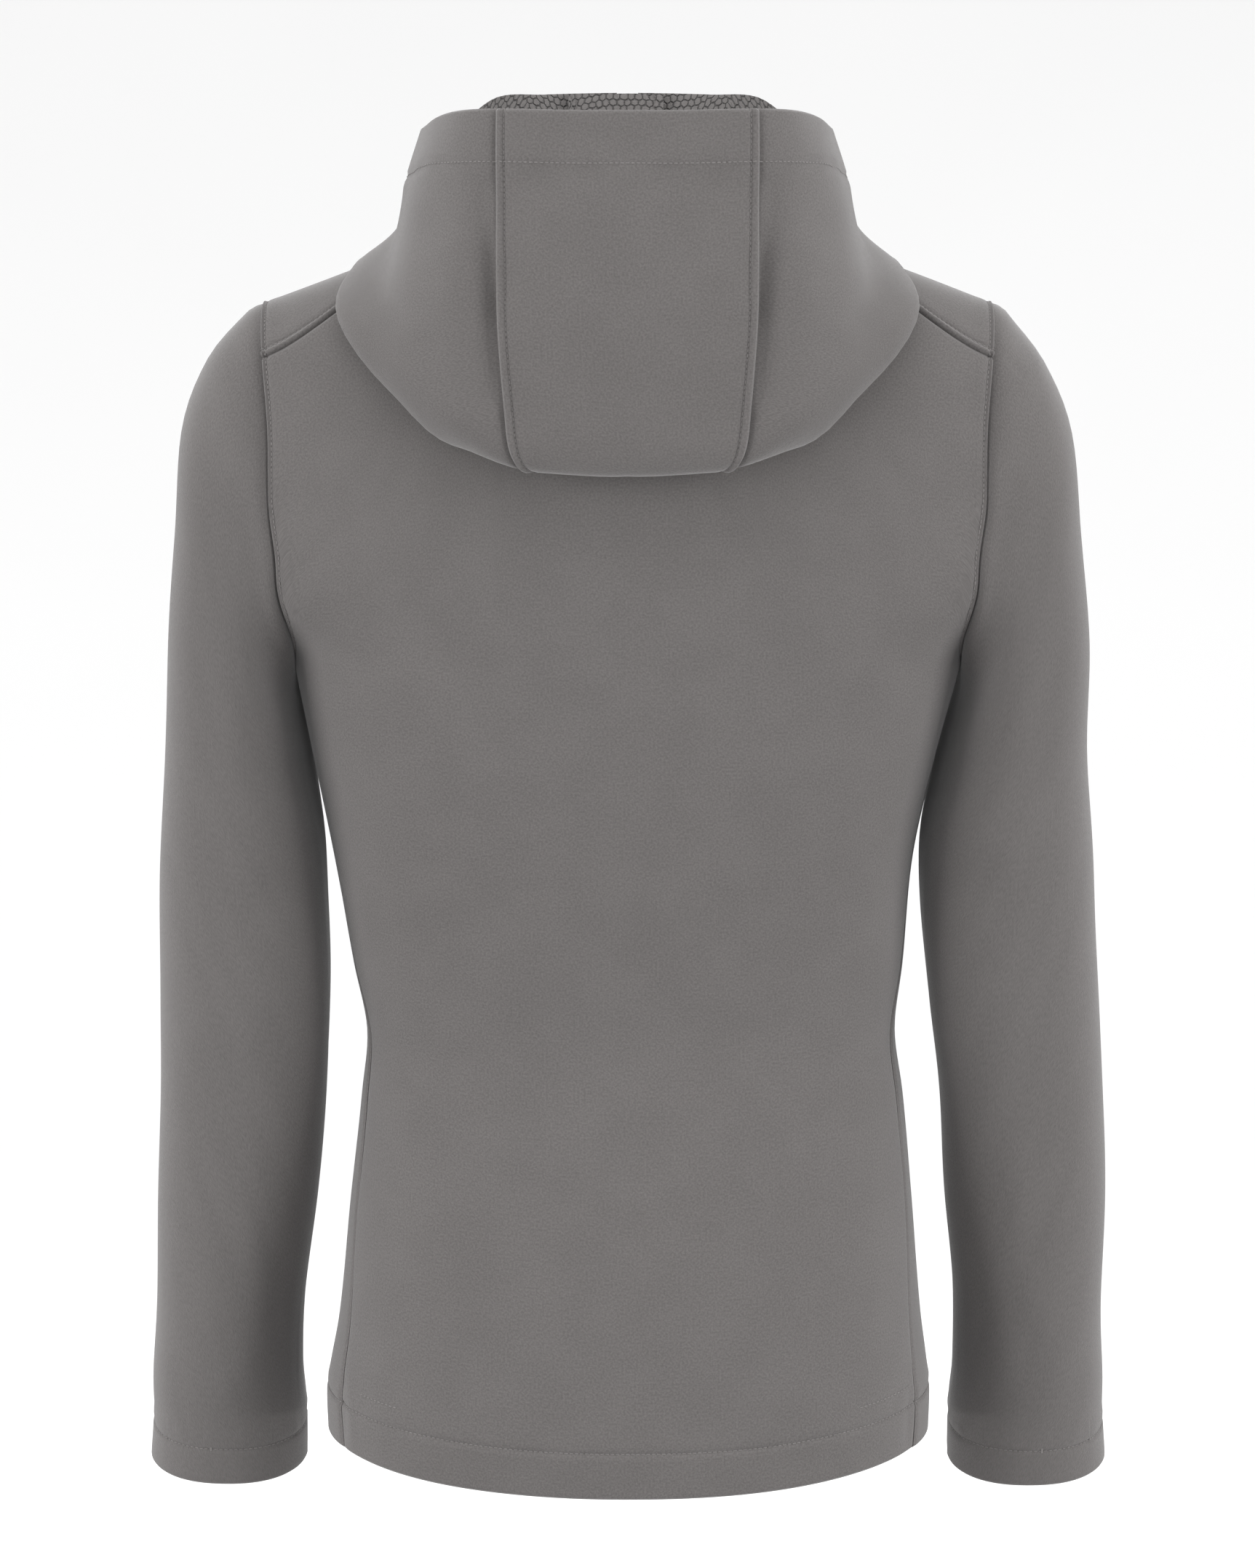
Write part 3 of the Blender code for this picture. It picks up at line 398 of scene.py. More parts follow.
def shell(name, outer, inner, uv, materials, wraps=False):
    """A wall of cloth: outer and inner grids joined round every open edge into one closed mesh."""
    rows, columns = outer.shape[:2]
    count = rows * columns
    row, col = quads(rows, columns, wraps)
    number = row * columns + col % columns
    faces = [number, number[:, ::-1] + count]
    corner_uv = [uv[row, col], uv[row, col][:, ::-1]]
    kinds = [np.zeros(len(number)), np.ones(len(number))]
    edge_col = np.arange(columns if wraps else columns - 1)
    borders = [(np.full_like(edge_col, end), edge_col, np.full_like(edge_col, end), edge_col + 1)
               for end in (0, rows - 1)]
    if not wraps:
        edge_row = np.arange(rows - 1)
        borders += [(edge_row, np.full_like(edge_row, end), edge_row + 1, np.full_like(edge_row, end))
                    for end in (0, columns - 1)]
    for turn, (row_a, col_a, row_b, col_b) in enumerate(borders):
        first = row_a * columns + col_a % columns
        last = row_b * columns + col_b % columns
        strip = np.stack([last, first, first + count, last + count], -1)
        faces.append(strip if turn in (0, 3) else strip[:, ::-1])
        strip_uv = np.stack([uv[row_b, col_b], uv[row_a, col_a], uv[row_a, col_a], uv[row_b, col_b]], 1)
        corner_uv.append(strip_uv if turn in (0, 3) else strip_uv[:, ::-1])
        kinds.append(np.zeros(len(strip)))
    points = np.concatenate([outer.reshape(-1, 3), inner.reshape(-1, 3)])
    faces = np.concatenate(faces)
    corner_uv = np.concatenate(corner_uv)
    if not faces_out(points, faces):
        faces = faces[:, ::-1]
        corner_uv = corner_uv[:, ::-1]
    return make_mesh(name, points, faces, corner_uv, np.concatenate(kinds), materials)


print("shell builder ready")

# %% [markdown]
# ## Creases, ripples and worked edges
# A crease is a line on the cloth with a soft ridge or trough along it. It is written as the eye sees it,
# from behind or from the front, in millimetres: where it starts and ends, how far it bows aside, how wide
# and how deep it is. Deep is above zero for a ridge and below zero for a trough. Edges are worked the same
# way on all panels: a rounded rim, a turned hem with a stitched groove, a lapped seam with a roll and a
# groove.

# %% Creases and edges
CREASE_COLUMNS = ("from_x", "from_up", "to_x", "to_up", "bow", "wide", "deep")
FACING_FULL = 0.30
CREASE_FADE = (-0.15, 0.30)
EDGE_ROUND = 0.0008
EDGE_STEPS = (0.0, 0.0005, 0.0011, 0.0018, 0.0028)
STITCH_STEPS = (-0.0026, -0.0017, -0.0009, 0.0, 0.0009, 0.0017, 0.0026)
WAVE_COUNT = 7
WAVE_SPREAD = (0.7, 1.7)
PUCKER_LENGTHS = (0.009, 0.017, 0.041)
PUCKER_PHASE = 6
HEM_GROOVE, HEM_GROOVE_PULL, HEM_GROOVE_WIDTH = 0.00055, 0.6, 0.0010
HEM_SWELL, HEM_SWELL_PULL, HEM_SWELL_PAST, HEM_SWELL_WIDTH = 0.00035, 0.8, 0.005, 0.004
HEM_LAYER, HEM_LAYER_STEP = 0.00050, 0.0015
ROLL_PLACE, ROLL_WIDTH = 0.45, 0.38
LAP_GROOVE, LAP_GROOVE_WIDTH = 0.55, 0.0008
LAP_SWELL, LAP_SWELL_PAST, LAP_SWELL_WIDTH = 0.20, 0.0035, 0.0028
LAP_EDGE, LAP_EDGE_WIDTH = 0.5, 0.0007
DITCH_WIDTH = 0.0016


def mirrored(rows, side):
    """Creases of the left side, turned over for the right: what runs across changes its sign."""
    signs = [side if column in ("from_x", "to_x", "bow") else 1 for column in CREASE_COLUMNS]
    return np.array(rows) * signs


def creased(points, outward, rows, seen, towards):
    """Height of the creases: along each line a bell-shaped ridge or trough that fades at both ends."""
    place = seen(points)
    height = np.zeros(points.shape[:-1])
    for from_x, from_up, to_x, to_up, bow, wide, deep in rows:
        run = np.array((to_x - from_x, to_up - from_up))
        offset = place - np.array((from_x, from_up))
        part = offset @ run / (run @ run)
        aside = (offset[..., 0] * run[1] - offset[..., 1] * run[0]) / np.hypot(*run)
        inside = np.clip(part, 0, 1)
        fade = ease(*CREASE_FADE, part) * ease(*CREASE_FADE, 1 - part)
        height += deep * MM * hill(aside, bow * 4 * inside * (1 - inside), wide) * fade
    return height * ease(0, FACING_FULL, outward @ towards)


def uneven(points, size, height, seed):
    """Slow unevenness of worn cloth: waves of about one size in scattered directions, averaged."""
    draw = np.random.default_rng(seed)
    directions = unit(draw.normal(size=(WAVE_COUNT, 3)))
    phases = draw.uniform(0, 2 * np.pi, WAVE_COUNT)
    sizes = size * draw.uniform(*WAVE_SPREAD, WAVE_COUNT)
    return height * np.sin(points @ (directions / sizes[:, None]).T * 2 * np.pi + phases).mean(-1)


def rim(distance):
    """A cut or folded edge rounds away over its last millimetre."""
    return -EDGE_ROUND * hill(distance, 0, EDGE_ROUND)


def turned_hem(distance, stitched_at, along, seed):
    """A turned hem: a fuller double layer below a stitched groove that puckers unevenly along its length."""
    draw = np.random.default_rng(seed)
    waves = [np.sin(along * 2 * np.pi / length + draw.uniform(0, PUCKER_PHASE)) for length in PUCKER_LENGTHS]
    pull = sum(waves) / len(waves)
    groove = -HEM_GROOVE * (1 + HEM_GROOVE_PULL * pull) * hill(distance, stitched_at, HEM_GROOVE_WIDTH)
    past = hill(distance, stitched_at + HEM_SWELL_PAST, HEM_SWELL_WIDTH)
    swell = HEM_SWELL * (1 + HEM_SWELL_PULL * pull) * past
    layer = HEM_LAYER * (1 - ease(stitched_at - HEM_LAYER_STEP, stitched_at, distance))
    return groove + swell + layer + rim(distance)


def lapped_seam(distance, stitched_at, height):
    """The upper side of a seam, turned back and stitched: a roll at the edge, then a stitched groove."""
    roll = height * hill(distance, stitched_at * ROLL_PLACE, stitched_at * ROLL_WIDTH)
    groove = -LAP_GROOVE * height * hill(distance, stitched_at, LAP_GROOVE_WIDTH)
    swell = LAP_SWELL * height * hill(distance, stitched_at + LAP_SWELL_PAST, LAP_SWELL_WIDTH)
    return roll + groove + swell - LAP_EDGE * height * hill(distance, 0, LAP_EDGE_WIDTH)


def ditch(distance, depth, width):
    """The lower side of a seam, drawn down to the stitching."""
    return -depth * hill(distance, 0, width)


print("crease and edge formulas ready")

# %% [markdown]
# ## Cloths and finishes
# The outside is a napped softshell: a warm mid grey with a fine heathered grain and a soft sheen where it
# turns away. The inside is a fleece pressed into small six-sided cells. Both are procedural and lie on the
# panel's own map, which is in metres along the cloth, so grain and cells keep their true size everywhere.

# %% Node helpers
SHEEN_ROUGHNESS = 0.45
SPECULAR_LEVEL = 0.25
GRAIN_ROUGHNESS = 0.6
# A mix node has sockets for every kind of data, so those for vectors and colours go by their numbers
VECTOR_A, VECTOR_B, VECTOR_OUT = 4, 5, 1
COLOUR_A, COLOUR_B, COLOUR_OUT = 6, 7, 2


def add_node(tree, kind, sockets=None, **settings):
    """A shader node with its settings, and its inputs set to a value or linked to another node's output."""
    made = tree.nodes.new(kind)
    for name, value in settings.items():
        setattr(made, name, value)
    for name, value in (sockets or {}).items():
        if isinstance(value, bpy.types.NodeSocket):
            tree.links.new(value, made.inputs[name])
        else:
            made.inputs[name].default_value = value
    return made


def new_finish(name, roughness, metal=0.0, sheen=0.0):
    """A material, its tree and its main shader, with the constants on the shader's own sockets."""
    material = bpy.data.materials.new(name)
    material.use_nodes = True
    shader = material.node_tree.nodes["Principled BSDF"]
    shader.inputs["Roughness"].default_value = roughness
    shader.inputs["Metallic"].default_value = metal
    shader.inputs["Sheen Weight"].default_value = sheen
    shader.inputs["Sheen Roughness"].default_value = SHEEN_ROUGHNESS
    shader.inputs["Specular IOR Level"].default_value = SPECULAR_LEVEL
    return material, material.node_tree, shader


def shade_between(tree, factor, dark, light):
    """A colour between a dark and a light one."""
    sockets = {"Factor": factor, COLOUR_A: (*dark, 1), COLOUR_B: (*light, 1)}
    return add_node(tree, "ShaderNodeMix", sockets, data_type="RGBA").outputs[COLOUR_OUT]


def grain(tree, place, size, detail=2.0):
    """Cloudy noise whose lumps have a size in metres."""
    sockets = {"Vector": place, "Scale": 1 / size, "Detail": detail, "Roughness": GRAIN_ROUGHNESS}
    return add_node(tree, "ShaderNodeTexNoise", sockets).outputs[0]


def spread(tree, value, low, high, to_low=0.0, to_high=1.0):
    """A value stretched softly from one range to another."""
    sockets = {"Value": value, "From Min": low, "From Max": high, "To Min": to_low, "To Max": to_high}
    return add_node(tree, "ShaderNodeMapRange", sockets, interpolation_type="SMOOTHSTEP").outputs[0]


def blend_values(tree, first, second, operation):
    """Two numbers put together by an operation of arithmetic."""
    return add_node(tree, "ShaderNodeMath", {0: first, 1: second}, operation=operation).outputs[0]


def relief(tree, shader, height, depth):
    """Fine relief that is too small for the mesh, as bump of a depth in metres."""
    bump = add_node(tree, "ShaderNodeBump", {"Height": height, "Strength": 1.0, "Distance": depth})
    tree.links.new(bump.outputs[0], shader.inputs["Normal"])


print("node helpers ready")

# %% Softshell outside
SHELL_DARK = (0.080, 0.0745, 0.0730)
SHELL_LIGHT = (0.122, 0.1142, 0.1122)
GRAIN_SIZE = 0.0011
NAP_SIZE = 0.0005
CLOUD_SIZE = 0.035
HEATHER_RANGE, HEATHER_SHARE = (0.25, 0.75), 0.86
CLOUD_RANGE, CLOUD_SHARE = (0.3, 0.7), 0.14
NAP_DEPTH = 0.00016


def softshell_finish():
    """Heathered grain over slow clouds of tone, a nap in the relief, and sheen at the turning edges."""
    material, tree, shader = new_finish("softshell", 0.9, sheen=0.30)
    place = add_node(tree, "ShaderNodeTexCoord").outputs["UV"]
    heather = grain(tree, place, GRAIN_SIZE)
    clouds = grain(tree, place, CLOUD_SIZE)
    fine_tone = spread(tree, heather, *HEATHER_RANGE, 0.0, HEATHER_SHARE)
    slow_tone = spread(tree, clouds, *CLOUD_RANGE, 0.0, CLOUD_SHARE)
    tone = blend_values(tree, fine_tone, slow_tone, "ADD")
    tree.links.new(shade_between(tree, tone, SHELL_DARK, SHELL_LIGHT), shader.inputs["Base Color"])
    nap = blend_values(tree, grain(tree, place, NAP_SIZE), heather, "ADD")
    relief(tree, shader, nap, NAP_DEPTH)
    return material


softshell = softshell_finish()
print("made", softshell.name)

# %% Fleece inside
CELL_WIDTH = 0.0039
# The dark fleece colour serves two things: painted shade along the sunk cell walls, and the pile's random
# darker tone
FLEECE_DARK = (0.060, 0.056, 0.055)
FLEECE_LIGHT = (0.195, 0.184, 0.180)
ROW_STEP = np.sqrt(3)
WANDER_SCALE, WANDER_REACH = 190.0, 0.0024
CELL_EDGE = (0.33, 0.49)
PILE_SIZE = 0.0006
CELL_SHARE, PILE_SHARE, PILE_RELIEF = 0.7, 0.4, 0.25
CELL_DEPTH = 0.0009


def vector_step(tree, operation, first, second=(0, 0, 0)):
    """A step of vector arithmetic."""
    made = add_node(tree, "ShaderNodeVectorMath", {0: first, 1: second}, operation=operation)
    return made.outputs[1] if operation in ("LENGTH", "DOT_PRODUCT") else made.outputs[0]


def cell_walls(tree, place):
    """0 in the middle of a six-sided cell and 0.5 on its wall: the nearer of two shifted square lattices."""
    squares = vector_step(tree, "MULTIPLY", place, (1 / CELL_WIDTH, 1 / CELL_WIDTH / ROW_STEP, 0))
    nearest = []
    for shift in (0.0, 0.5):
        moved = vector_step(tree, "FRACTION", vector_step(tree, "ADD", squares, (shift, shift, 0)))
        centred = vector_step(tree, "SUBTRACT", moved, (0.5, 0.5, 0))
        nearest.append(vector_step(tree, "MULTIPLY", centred, (1, ROW_STEP, 0)))
    lengths = [vector_step(tree, "LENGTH", offset) for offset in nearest]
    closer = blend_values(tree, lengths[0], lengths[1], "LESS_THAN")
    sockets = {"Factor": closer, VECTOR_A: nearest[1], VECTOR_B: nearest[0]}
    chosen = add_node(tree, "ShaderNodeMix", sockets, data_type="VECTOR").outputs[VECTOR_OUT]
    size = vector_step(tree, "ABSOLUTE", chosen)
    slant = vector_step(tree, "DOT_PRODUCT", size, (0.5, ROW_STEP / 2, 0))
    return blend_values(tree, vector_step(tree, "DOT_PRODUCT", size, (1, 0, 0)), slant, "MAXIMUM")


def fleece_finish():
    """Six-sided cells with sunk walls, painted darker along the walls as shade in the grooves, a little
    wandering, and a short pile.
    """
    material, tree, shader = new_finish("honeycomb_fleece", 0.95, sheen=0.35)
    place = add_node(tree, "ShaderNodeTexCoord").outputs["UV"]
    sockets = {"Vector": place, "Scale": WANDER_SCALE, "Detail": 1.0}
    wander = add_node(tree, "ShaderNodeTexNoise", sockets).outputs["Color"]
    centred = vector_step(tree, "SUBTRACT", wander, (0.5, 0.5, 0.5))
    drift = vector_step(tree, "MULTIPLY", centred, (WANDER_REACH, WANDER_REACH, 0))
    walls = cell_walls(tree, vector_step(tree, "ADD", place, drift))
    cell = spread(tree, walls, *CELL_EDGE, 1.0, 0.0)
    pile = grain(tree, place, PILE_SIZE)
    # Painted shade: the colour darkens towards the sunk cell walls, as if shade fell in the grooves
    painted_groove_shade = blend_values(tree, cell, CELL_SHARE, "MULTIPLY")
    pile_tone = blend_values(tree, pile, PILE_SHARE, "MULTIPLY")
    tone = blend_values(tree, painted_groove_shade, pile_tone, "ADD")
    tree.links.new(shade_between(tree, tone, FLEECE_DARK, FLEECE_LIGHT), shader.inputs["Base Color"])
    pile_height = blend_values(tree, pile, PILE_RELIEF, "MULTIPLY")
    relief(tree, shader, blend_values(tree, cell, pile_height, "ADD"), CELL_DEPTH)
    return material


fleece = fleece_finish()
print("made", fleece.name)

# %% Thread, zip tape, teeth and slider
THREAD_DARK, THREAD_LIGHT = (0.085, 0.079, 0.077), (0.20, 0.19, 0.186)
PLY_SIZE, PLY_DEPTH = 0.0007, 0.0001
TAPE_DARK, TAPE_LIGHT = (0.055, 0.051, 0.050), (0.13, 0.123, 0.121)
RIB_SCALE, RIB_DEPTH = 300.0, 0.0002
RIB_WANDER, RIB_DETAIL = 1.5, 4.0
BROKEN_SIZE = 0.0008
TOOTH_DARK, TOOTH_LIGHT = (0.045, 0.042, 0.041), (0.075, 0.071, 0.069)
METAL_DARK, METAL_LIGHT = (0.085, 0.081, 0.079), (0.16, 0.154, 0.15)
WEAR_SIZE, WEAR_DETAIL, WEAR_DEPTH = 0.0015, 4.0, 0.00003
WEAR_SMOOTHER, WEAR_ROUGHER = 0.1, 0.12


def thread_finish():
    """Spun thread: fine light and dark plies across each stitch."""
    material, tree, shader = new_finish("thread", 0.6, sheen=0.2)
    place = add_node(tree, "ShaderNodeTexCoord").outputs["Object"]
    plies = grain(tree, place, PLY_SIZE)
    tree.links.new(shade_between(tree, plies, THREAD_DARK, THREAD_LIGHT), shader.inputs["Base Color"])
    relief(tree, shader, plies, PLY_DEPTH)
    return material


def tape_finish():
    """Woven tape: ribs along its length with a fine broken grain."""
    material, tree, shader = new_finish("zip_tape", 0.85, sheen=0.1)
    place = add_node(tree, "ShaderNodeTexCoord").outputs["UV"]
    sockets = {"Vector": place, "Scale": RIB_SCALE, "Distortion": RIB_WANDER, "Detail Scale": RIB_DETAIL}
    ribs = add_node(tree, "ShaderNodeTexWave", sockets).outputs["Fac"]
    tone = blend_values(tree, ribs, grain(tree, place, BROKEN_SIZE), "MULTIPLY")
    tree.links.new(shade_between(tree, tone, TAPE_DARK, TAPE_LIGHT), shader.inputs["Base Color"])
    relief(tree, shader, ribs, RIB_DEPTH)
    return material


def hard_finish(name, dark, light, roughness, metal):
    """A hard dark finish with faint clouds of wear in its tone and gloss."""
    material, tree, shader = new_finish(name, roughness, metal)
    place = add_node(tree, "ShaderNodeTexCoord").outputs["Object"]
    wear = grain(tree, place, WEAR_SIZE, WEAR_DETAIL)
    tree.links.new(shade_between(tree, wear, dark, light), shader.inputs["Base Color"])
    gloss = spread(tree, wear, *CLOUD_RANGE, roughness - WEAR_SMOOTHER, roughness + WEAR_ROUGHER)
    tree.links.new(gloss, shader.inputs["Roughness"])
    relief(tree, shader, wear, WEAR_DEPTH)
    return material


thread = thread_finish()
zip_tape = tape_finish()
tooth_plastic = hard_finish("zip_teeth", TOOTH_DARK, TOOTH_LIGHT, roughness=0.45, metal=0.0)
zip_metal = hard_finish("zip_metal", METAL_DARK, METAL_LIGHT, roughness=0.38, metal=0.85)
for node_name in ("zip_slider", "zip_pull"):
    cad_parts[node_name].data.materials.clear()
    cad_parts[node_name].data.materials.append(zip_metal)
print("made", thread.name, zip_tape.name, tooth_plastic.name, zip_metal.name)

# %% [markdown]
# ## Stitches and teeth
# A row of stitches is the same small thing many times over. Each stitch is a little rounded block, drawn
# out along the seam and half sunk in the cloth, and all the stitches of a piece are one mesh, worked out as
# one array. The zip's teeth are made from the same block in other proportions.

# %% The small rounded block, many times
BLOCK_POWER = 3.5


def rounded_block():
    """Corners, edge middles and face middles of a cube, eased to a pillow, with its 24 faces."""
    steps = np.array((-1.0, 0.0, 1.0))
    points = np.stack(np.meshgrid(steps, steps, steps, indexing="ij"), -1).reshape(-1, 3)
    size = (np.abs(points) ** BLOCK_POWER).sum(-1, keepdims=True)
    points /= np.maximum(size, TINY) ** (1 / BLOCK_POWER)
    faces = []
    for axis in range(3):
        strides = [9, 3, 1]
        across, up = [strides[other] for other in range(3) if other != axis]
        row, col = np.meshgrid((0, 1), (0, 1), indexing="ij")
        start = (row * across + col * up).ravel()
        corners = np.stack([start, start + across, start + across + up, start + up], -1)
        ahead = corners if axis != 1 else corners[:, ::-1]
        faces += [ahead + 2 * strides[axis], ahead[:, ::-1]]
    return points, np.concatenate(faces)


def repeat_block(name, places, ahead, outward, size, material):
    """Blocks at places, each drawn out ahead, outward and sideways by the three half sizes."""
    block, faces = rounded_block()
    sideways = unit(np.cross(ahead, outward))
    axes = np.stack([ahead, outward, sideways], 1)
    points = places[:, None] + (block * size) @ axes
    numbers = np.arange(len(places))[:, None, None] * len(block) + faces
    uvs = np.repeat(block[faces][None, ..., :2] * size[:2], len(places), axis=0).reshape(-1, 4, 2)
    if not faces_out(points[0], faces):
        numbers = numbers[..., ::-1]
    kept, used = np.unique(numbers.reshape(-1, 4), return_inverse=True)
    used = used.reshape(-1, 4)
    return make_mesh(name, points.reshape(-1, 3)[kept], used, uvs, np.zeros(len(used)), [material])


STITCH_PITCH = 0.0027
STITCH_HALF = np.array((0.00098, 0.00026, 0.00030))


def even_steps(line, outward, pitch):
    """Places at an even pitch along a line, with the directions ahead and out of the cloth there."""
    run = along_cloth(line, 0)
    count = max(2, int(run[-1] / pitch))
    at = (np.arange(count) + 0.5) * run[-1] / count
    places = np.stack([np.interp(at, run, line[:, axis]) for axis in range(3)], -1)
    facing = unit(np.stack([np.interp(at, run, outward[:, axis]) for axis in range(3)], -1))
    return places, unit(np.gradient(places, axis=0)), facing


def sew(name, lines):
    """One piece of topstitching from several rows, each a line of points and its directions out."""
    steps = [even_steps(line, outward, STITCH_PITCH) for line, outward in lines]
    places, ahead, facing = (np.concatenate(parts) for parts in zip(*steps))
    made = repeat_block(name, places, ahead, facing, STITCH_HALF, thread)
    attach(made, "jacket")
    print(name, len(places), "stitches")
    return made


def line_at(grid, distance, target):
    """The line across a grid at a distance from its first row, read between the two nearest rows."""
    above = np.clip((distance < target).sum(0), 1, len(distance) - 1)
    number = np.arange(distance.shape[1])
    low = distance[above - 1, number]
    part = (target - low) / np.maximum(distance[above, number] - low, TINY)
    return mix(grid[above - 1, number], grid[above, number], np.clip(part, 0, 1)[:, None])


print("stitch builder ready")

# %% [markdown]
# ## Fronts and back
# The fronts wrap over the shoulder to a seam behind it, so the shoulder seam shows from behind as a
# slanting roll with a row of stitches above it. The hem is turned up once and stitched. Rows and columns of
# the grid crowd where the cloth is worked: at hems, seams and the underarm.

# %% Grids of the body panels
CLOTH_STEP = 0.0050
QUARTER_LENGTH = 0.235
ARCH_LENGTH = 0.300
HEM_TURN = 0.025
SHOULDER_STITCH = 0.0042
ARM_STITCH = 0.0024
ZIP_STITCH = 0.0055
CROWD_TO = 0.35
CROWD_ROWS = 26
CROWD_POWER = 1.7
CROWD_LEAST = 0.002
SETTLE_REACH = 0.014
SETTLE_FULL = (1.0, 0.75)
NECK_SHARE = float(panel_share(NECK_PLACE))


def thinned(places, least):
    """Rising places, none closer to the one before it than a least step."""
    rising = np.unique(places)
    return rising[np.concatenate([[True], np.diff(rising) > least])]


def panel_levels():
    """Levels from hem to underarm, then 1 plus shares of the arch."""
    low = HEM_Z + spaced(UNDERARM_Z - HEM_Z, CLOTH_STEP, (0, HEM_TURN), EDGE_STEPS + STITCH_STEPS)[:-1]
    fine = (ARCH_LENGTH, ARCH_LENGTH - SHOULDER_STITCH)
    arch = spaced(ARCH_LENGTH, CLOTH_STEP, fine, STITCH_STEPS) / ARCH_LENGTH
    crowd = CROWD_TO * np.linspace(0, 1, CROWD_ROWS) ** CROWD_POWER
    return np.concatenate([low, 1 + thinned(np.concatenate([arch, crowd]), CROWD_LEAST)])


def settled(points, level, reach, share):
    """Cloth holds no sharp bend: near one row, each point moves to a bell-weighted mean of its own column."""
    run = along_cloth(points, 0).mean(1)
    weight = hill(run[:, None], run[None, :], reach) * np.gradient(run)
    soft = np.einsum("ij,jck->ick", weight / weight.sum(1, keepdims=True), points)
    near = hill(run, run[level], 3 * reach)[:, None] * ease(*SETTLE_FULL, share)[None, :]
    return mix(points, soft, near[..., None])


def half_panel(is_back, side):
    """Shares across and points of a front, or of half the back, from the centre line or zip to the side."""
    start = TINY if is_back else float(panel_share(ZIP_SHARE))
    neck_at = (NECK_SHARE - start) / (1 - start) * QUARTER_LENGTH
    fine = (QUARTER_LENGTH, QUARTER_LENGTH - ARM_STITCH) + (() if is_back else (0.0, ZIP_STITCH))
    places = np.concatenate([spaced(QUARTER_LENGTH, CLOTH_STEP, fine, STITCH_STEPS), [neck_at]])
    share = start + (1 - start) * np.unique(places) / QUARTER_LENGTH
    points = panel(share[None, :], LEVELS[:, None], is_back, side)
    return share, settled(points, ARM_ROW, SETTLE_REACH, share)


def wall(points, outward, height, edge=0.0):
    """Outer and inner faces: the cloth moved out by seams and creases, and pinched together at edges."""
    outer = points + (height + edge)[..., None] * outward
    inner = points + (height - edge - WALL)[..., None] * outward
    return outer, inner


def facing_away(points, outward, middle):
    """Directions turned so that they mostly point away from a middle."""
    return outward * np.sign(((points - middle) * outward).sum(-1).mean())


LEVELS = panel_levels()
ARM_ROW = int(np.searchsorted(LEVELS, 1.0))
ON_ARMHOLE = ease(1.0, 1.04, LEVELS)[:, None]
fronts = {side: half_panel(False, side) for side in (1, -1)}
backs = {side: half_panel(True, side) for side in (1, -1)}
print("panel grids of", len(LEVELS), "rows and", len(fronts[1][0]), "columns")

# %% Creases of the body
BACK_CREASES = (
    (118, -395, 62, -372, 5, 13, -1.1),
    (122, -432, 70, -436, -4, 12, 0.9),
    (120, -455, 58, -482, -6, 14, -1.0),
    (-120, -398, -66, -380, -5, 12, -0.9),
    (-124, -436, -74, -446, 4, 13, 0.9),
    (-118, -462, -52, -496, 7, 15, -1.0),
    (152, -216, 70, -330, 10, 18, 1.6),
    (118, -200, 36, -340, 9, 22, -1.6),
    (-150, -212, -62, -322, -11, 18, 1.5),
    (-104, -205, -24, -340, -8, 22, -1.4),
    (20, -360, 66, -470, -9, 22, 1.3),
    (-30, -430, -82, -540, 10, 24, 1.2),
    (50, -520, 10, -640, 8, 26, -0.7),
    (-50, -560, -30, -660, 6, 24, -0.7),
    (154, -620, 152, -662, 0.5, 1.7, -0.8),
    (150, -614, 147.5, -660, 0.6, 1.8, 0.6),
    (-152, -622, -150, -660, -0.5, 1.7, -0.7),
    (139, -67, 119, -96, 4, 6, -0.5),
)
FRONT_CREASES = (
    (60, -150, 30, -250, 8, 18, 1.1),
    (112, -190, 60, -226, -6, 13, -1.3),
    (-112, -186, -66, -230, 6, 14, -1.2),
    (128, -380, 66, -404, 5, 12, -1.2),
    (-128, -392, -58, -372, -5, 13, -1.1),
    (126, -440, 60, -452, -6, 13, 1.0),
    (-124, -448, -64, -470, 7, 14, 1.0),
    (80, -520, 46, -630, 9, 22, 0.9),
    (-90, -500, -60, -625, -8, 22, -0.9),
    (20, -300, 14, -420, 4, 14, -0.7),
    (-22, -330, -16, -470, -3, 14, -0.7),
)
print(len(BACK_CREASES), "creases behind,", len(FRONT_CREASES), "in front")

# %% The back
BODY_UNEVEN = (0.11, 0.0009)
BACK_SEED = 11
SHOULDER_EASE = 0.03
SIDE_DITCH = 0.0007
ARM_ROLL = 0.0009
SHOULDER_DITCH = 0.0013
AHEAD_OF_BACK = np.array((0.0, -0.2, -0.35))


def declare(piece, node):
    """The piece stands for its CAD node, which is hidden, and rides the jacket."""
    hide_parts(node)
    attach(piece, "jacket")
    print(piece.name, len(piece.data.polygons), "faces")


def body_heights(points, outward, share, seed):
    """Seams, hem and slow unevenness that fronts and back have in common, by distance from each edge."""
    hem = along_cloth(points, 0)
    across = along_cloth(points, 1)
    top = to_end(hem, 0)
    height = turned_hem(hem, HEM_TURN, across, seed) + uneven(points, *BODY_UNEVEN, seed)
    behind = creased(points, outward, BACK_CREASES, seen_from_behind, TOWARDS_VIEWER)
    ahead = creased(points, outward, FRONT_CREASES, seen_from_front, TOWARDS_FRONT)
    on_shoulder = ease(0, SHOULDER_EASE, share - NECK_SHARE)[None, :]
    return height + behind + ahead, hem, across, top, on_shoulder


def arm_edge(distance):
    """Side seam below the underarm, and above it the armhole's roll with its stitched groove."""
    side_seam = ditch(distance, SIDE_DITCH, DITCH_WIDTH)
    return mix(side_seam, lapped_seam(distance, ARM_STITCH, ARM_ROLL), ON_ARMHOLE)


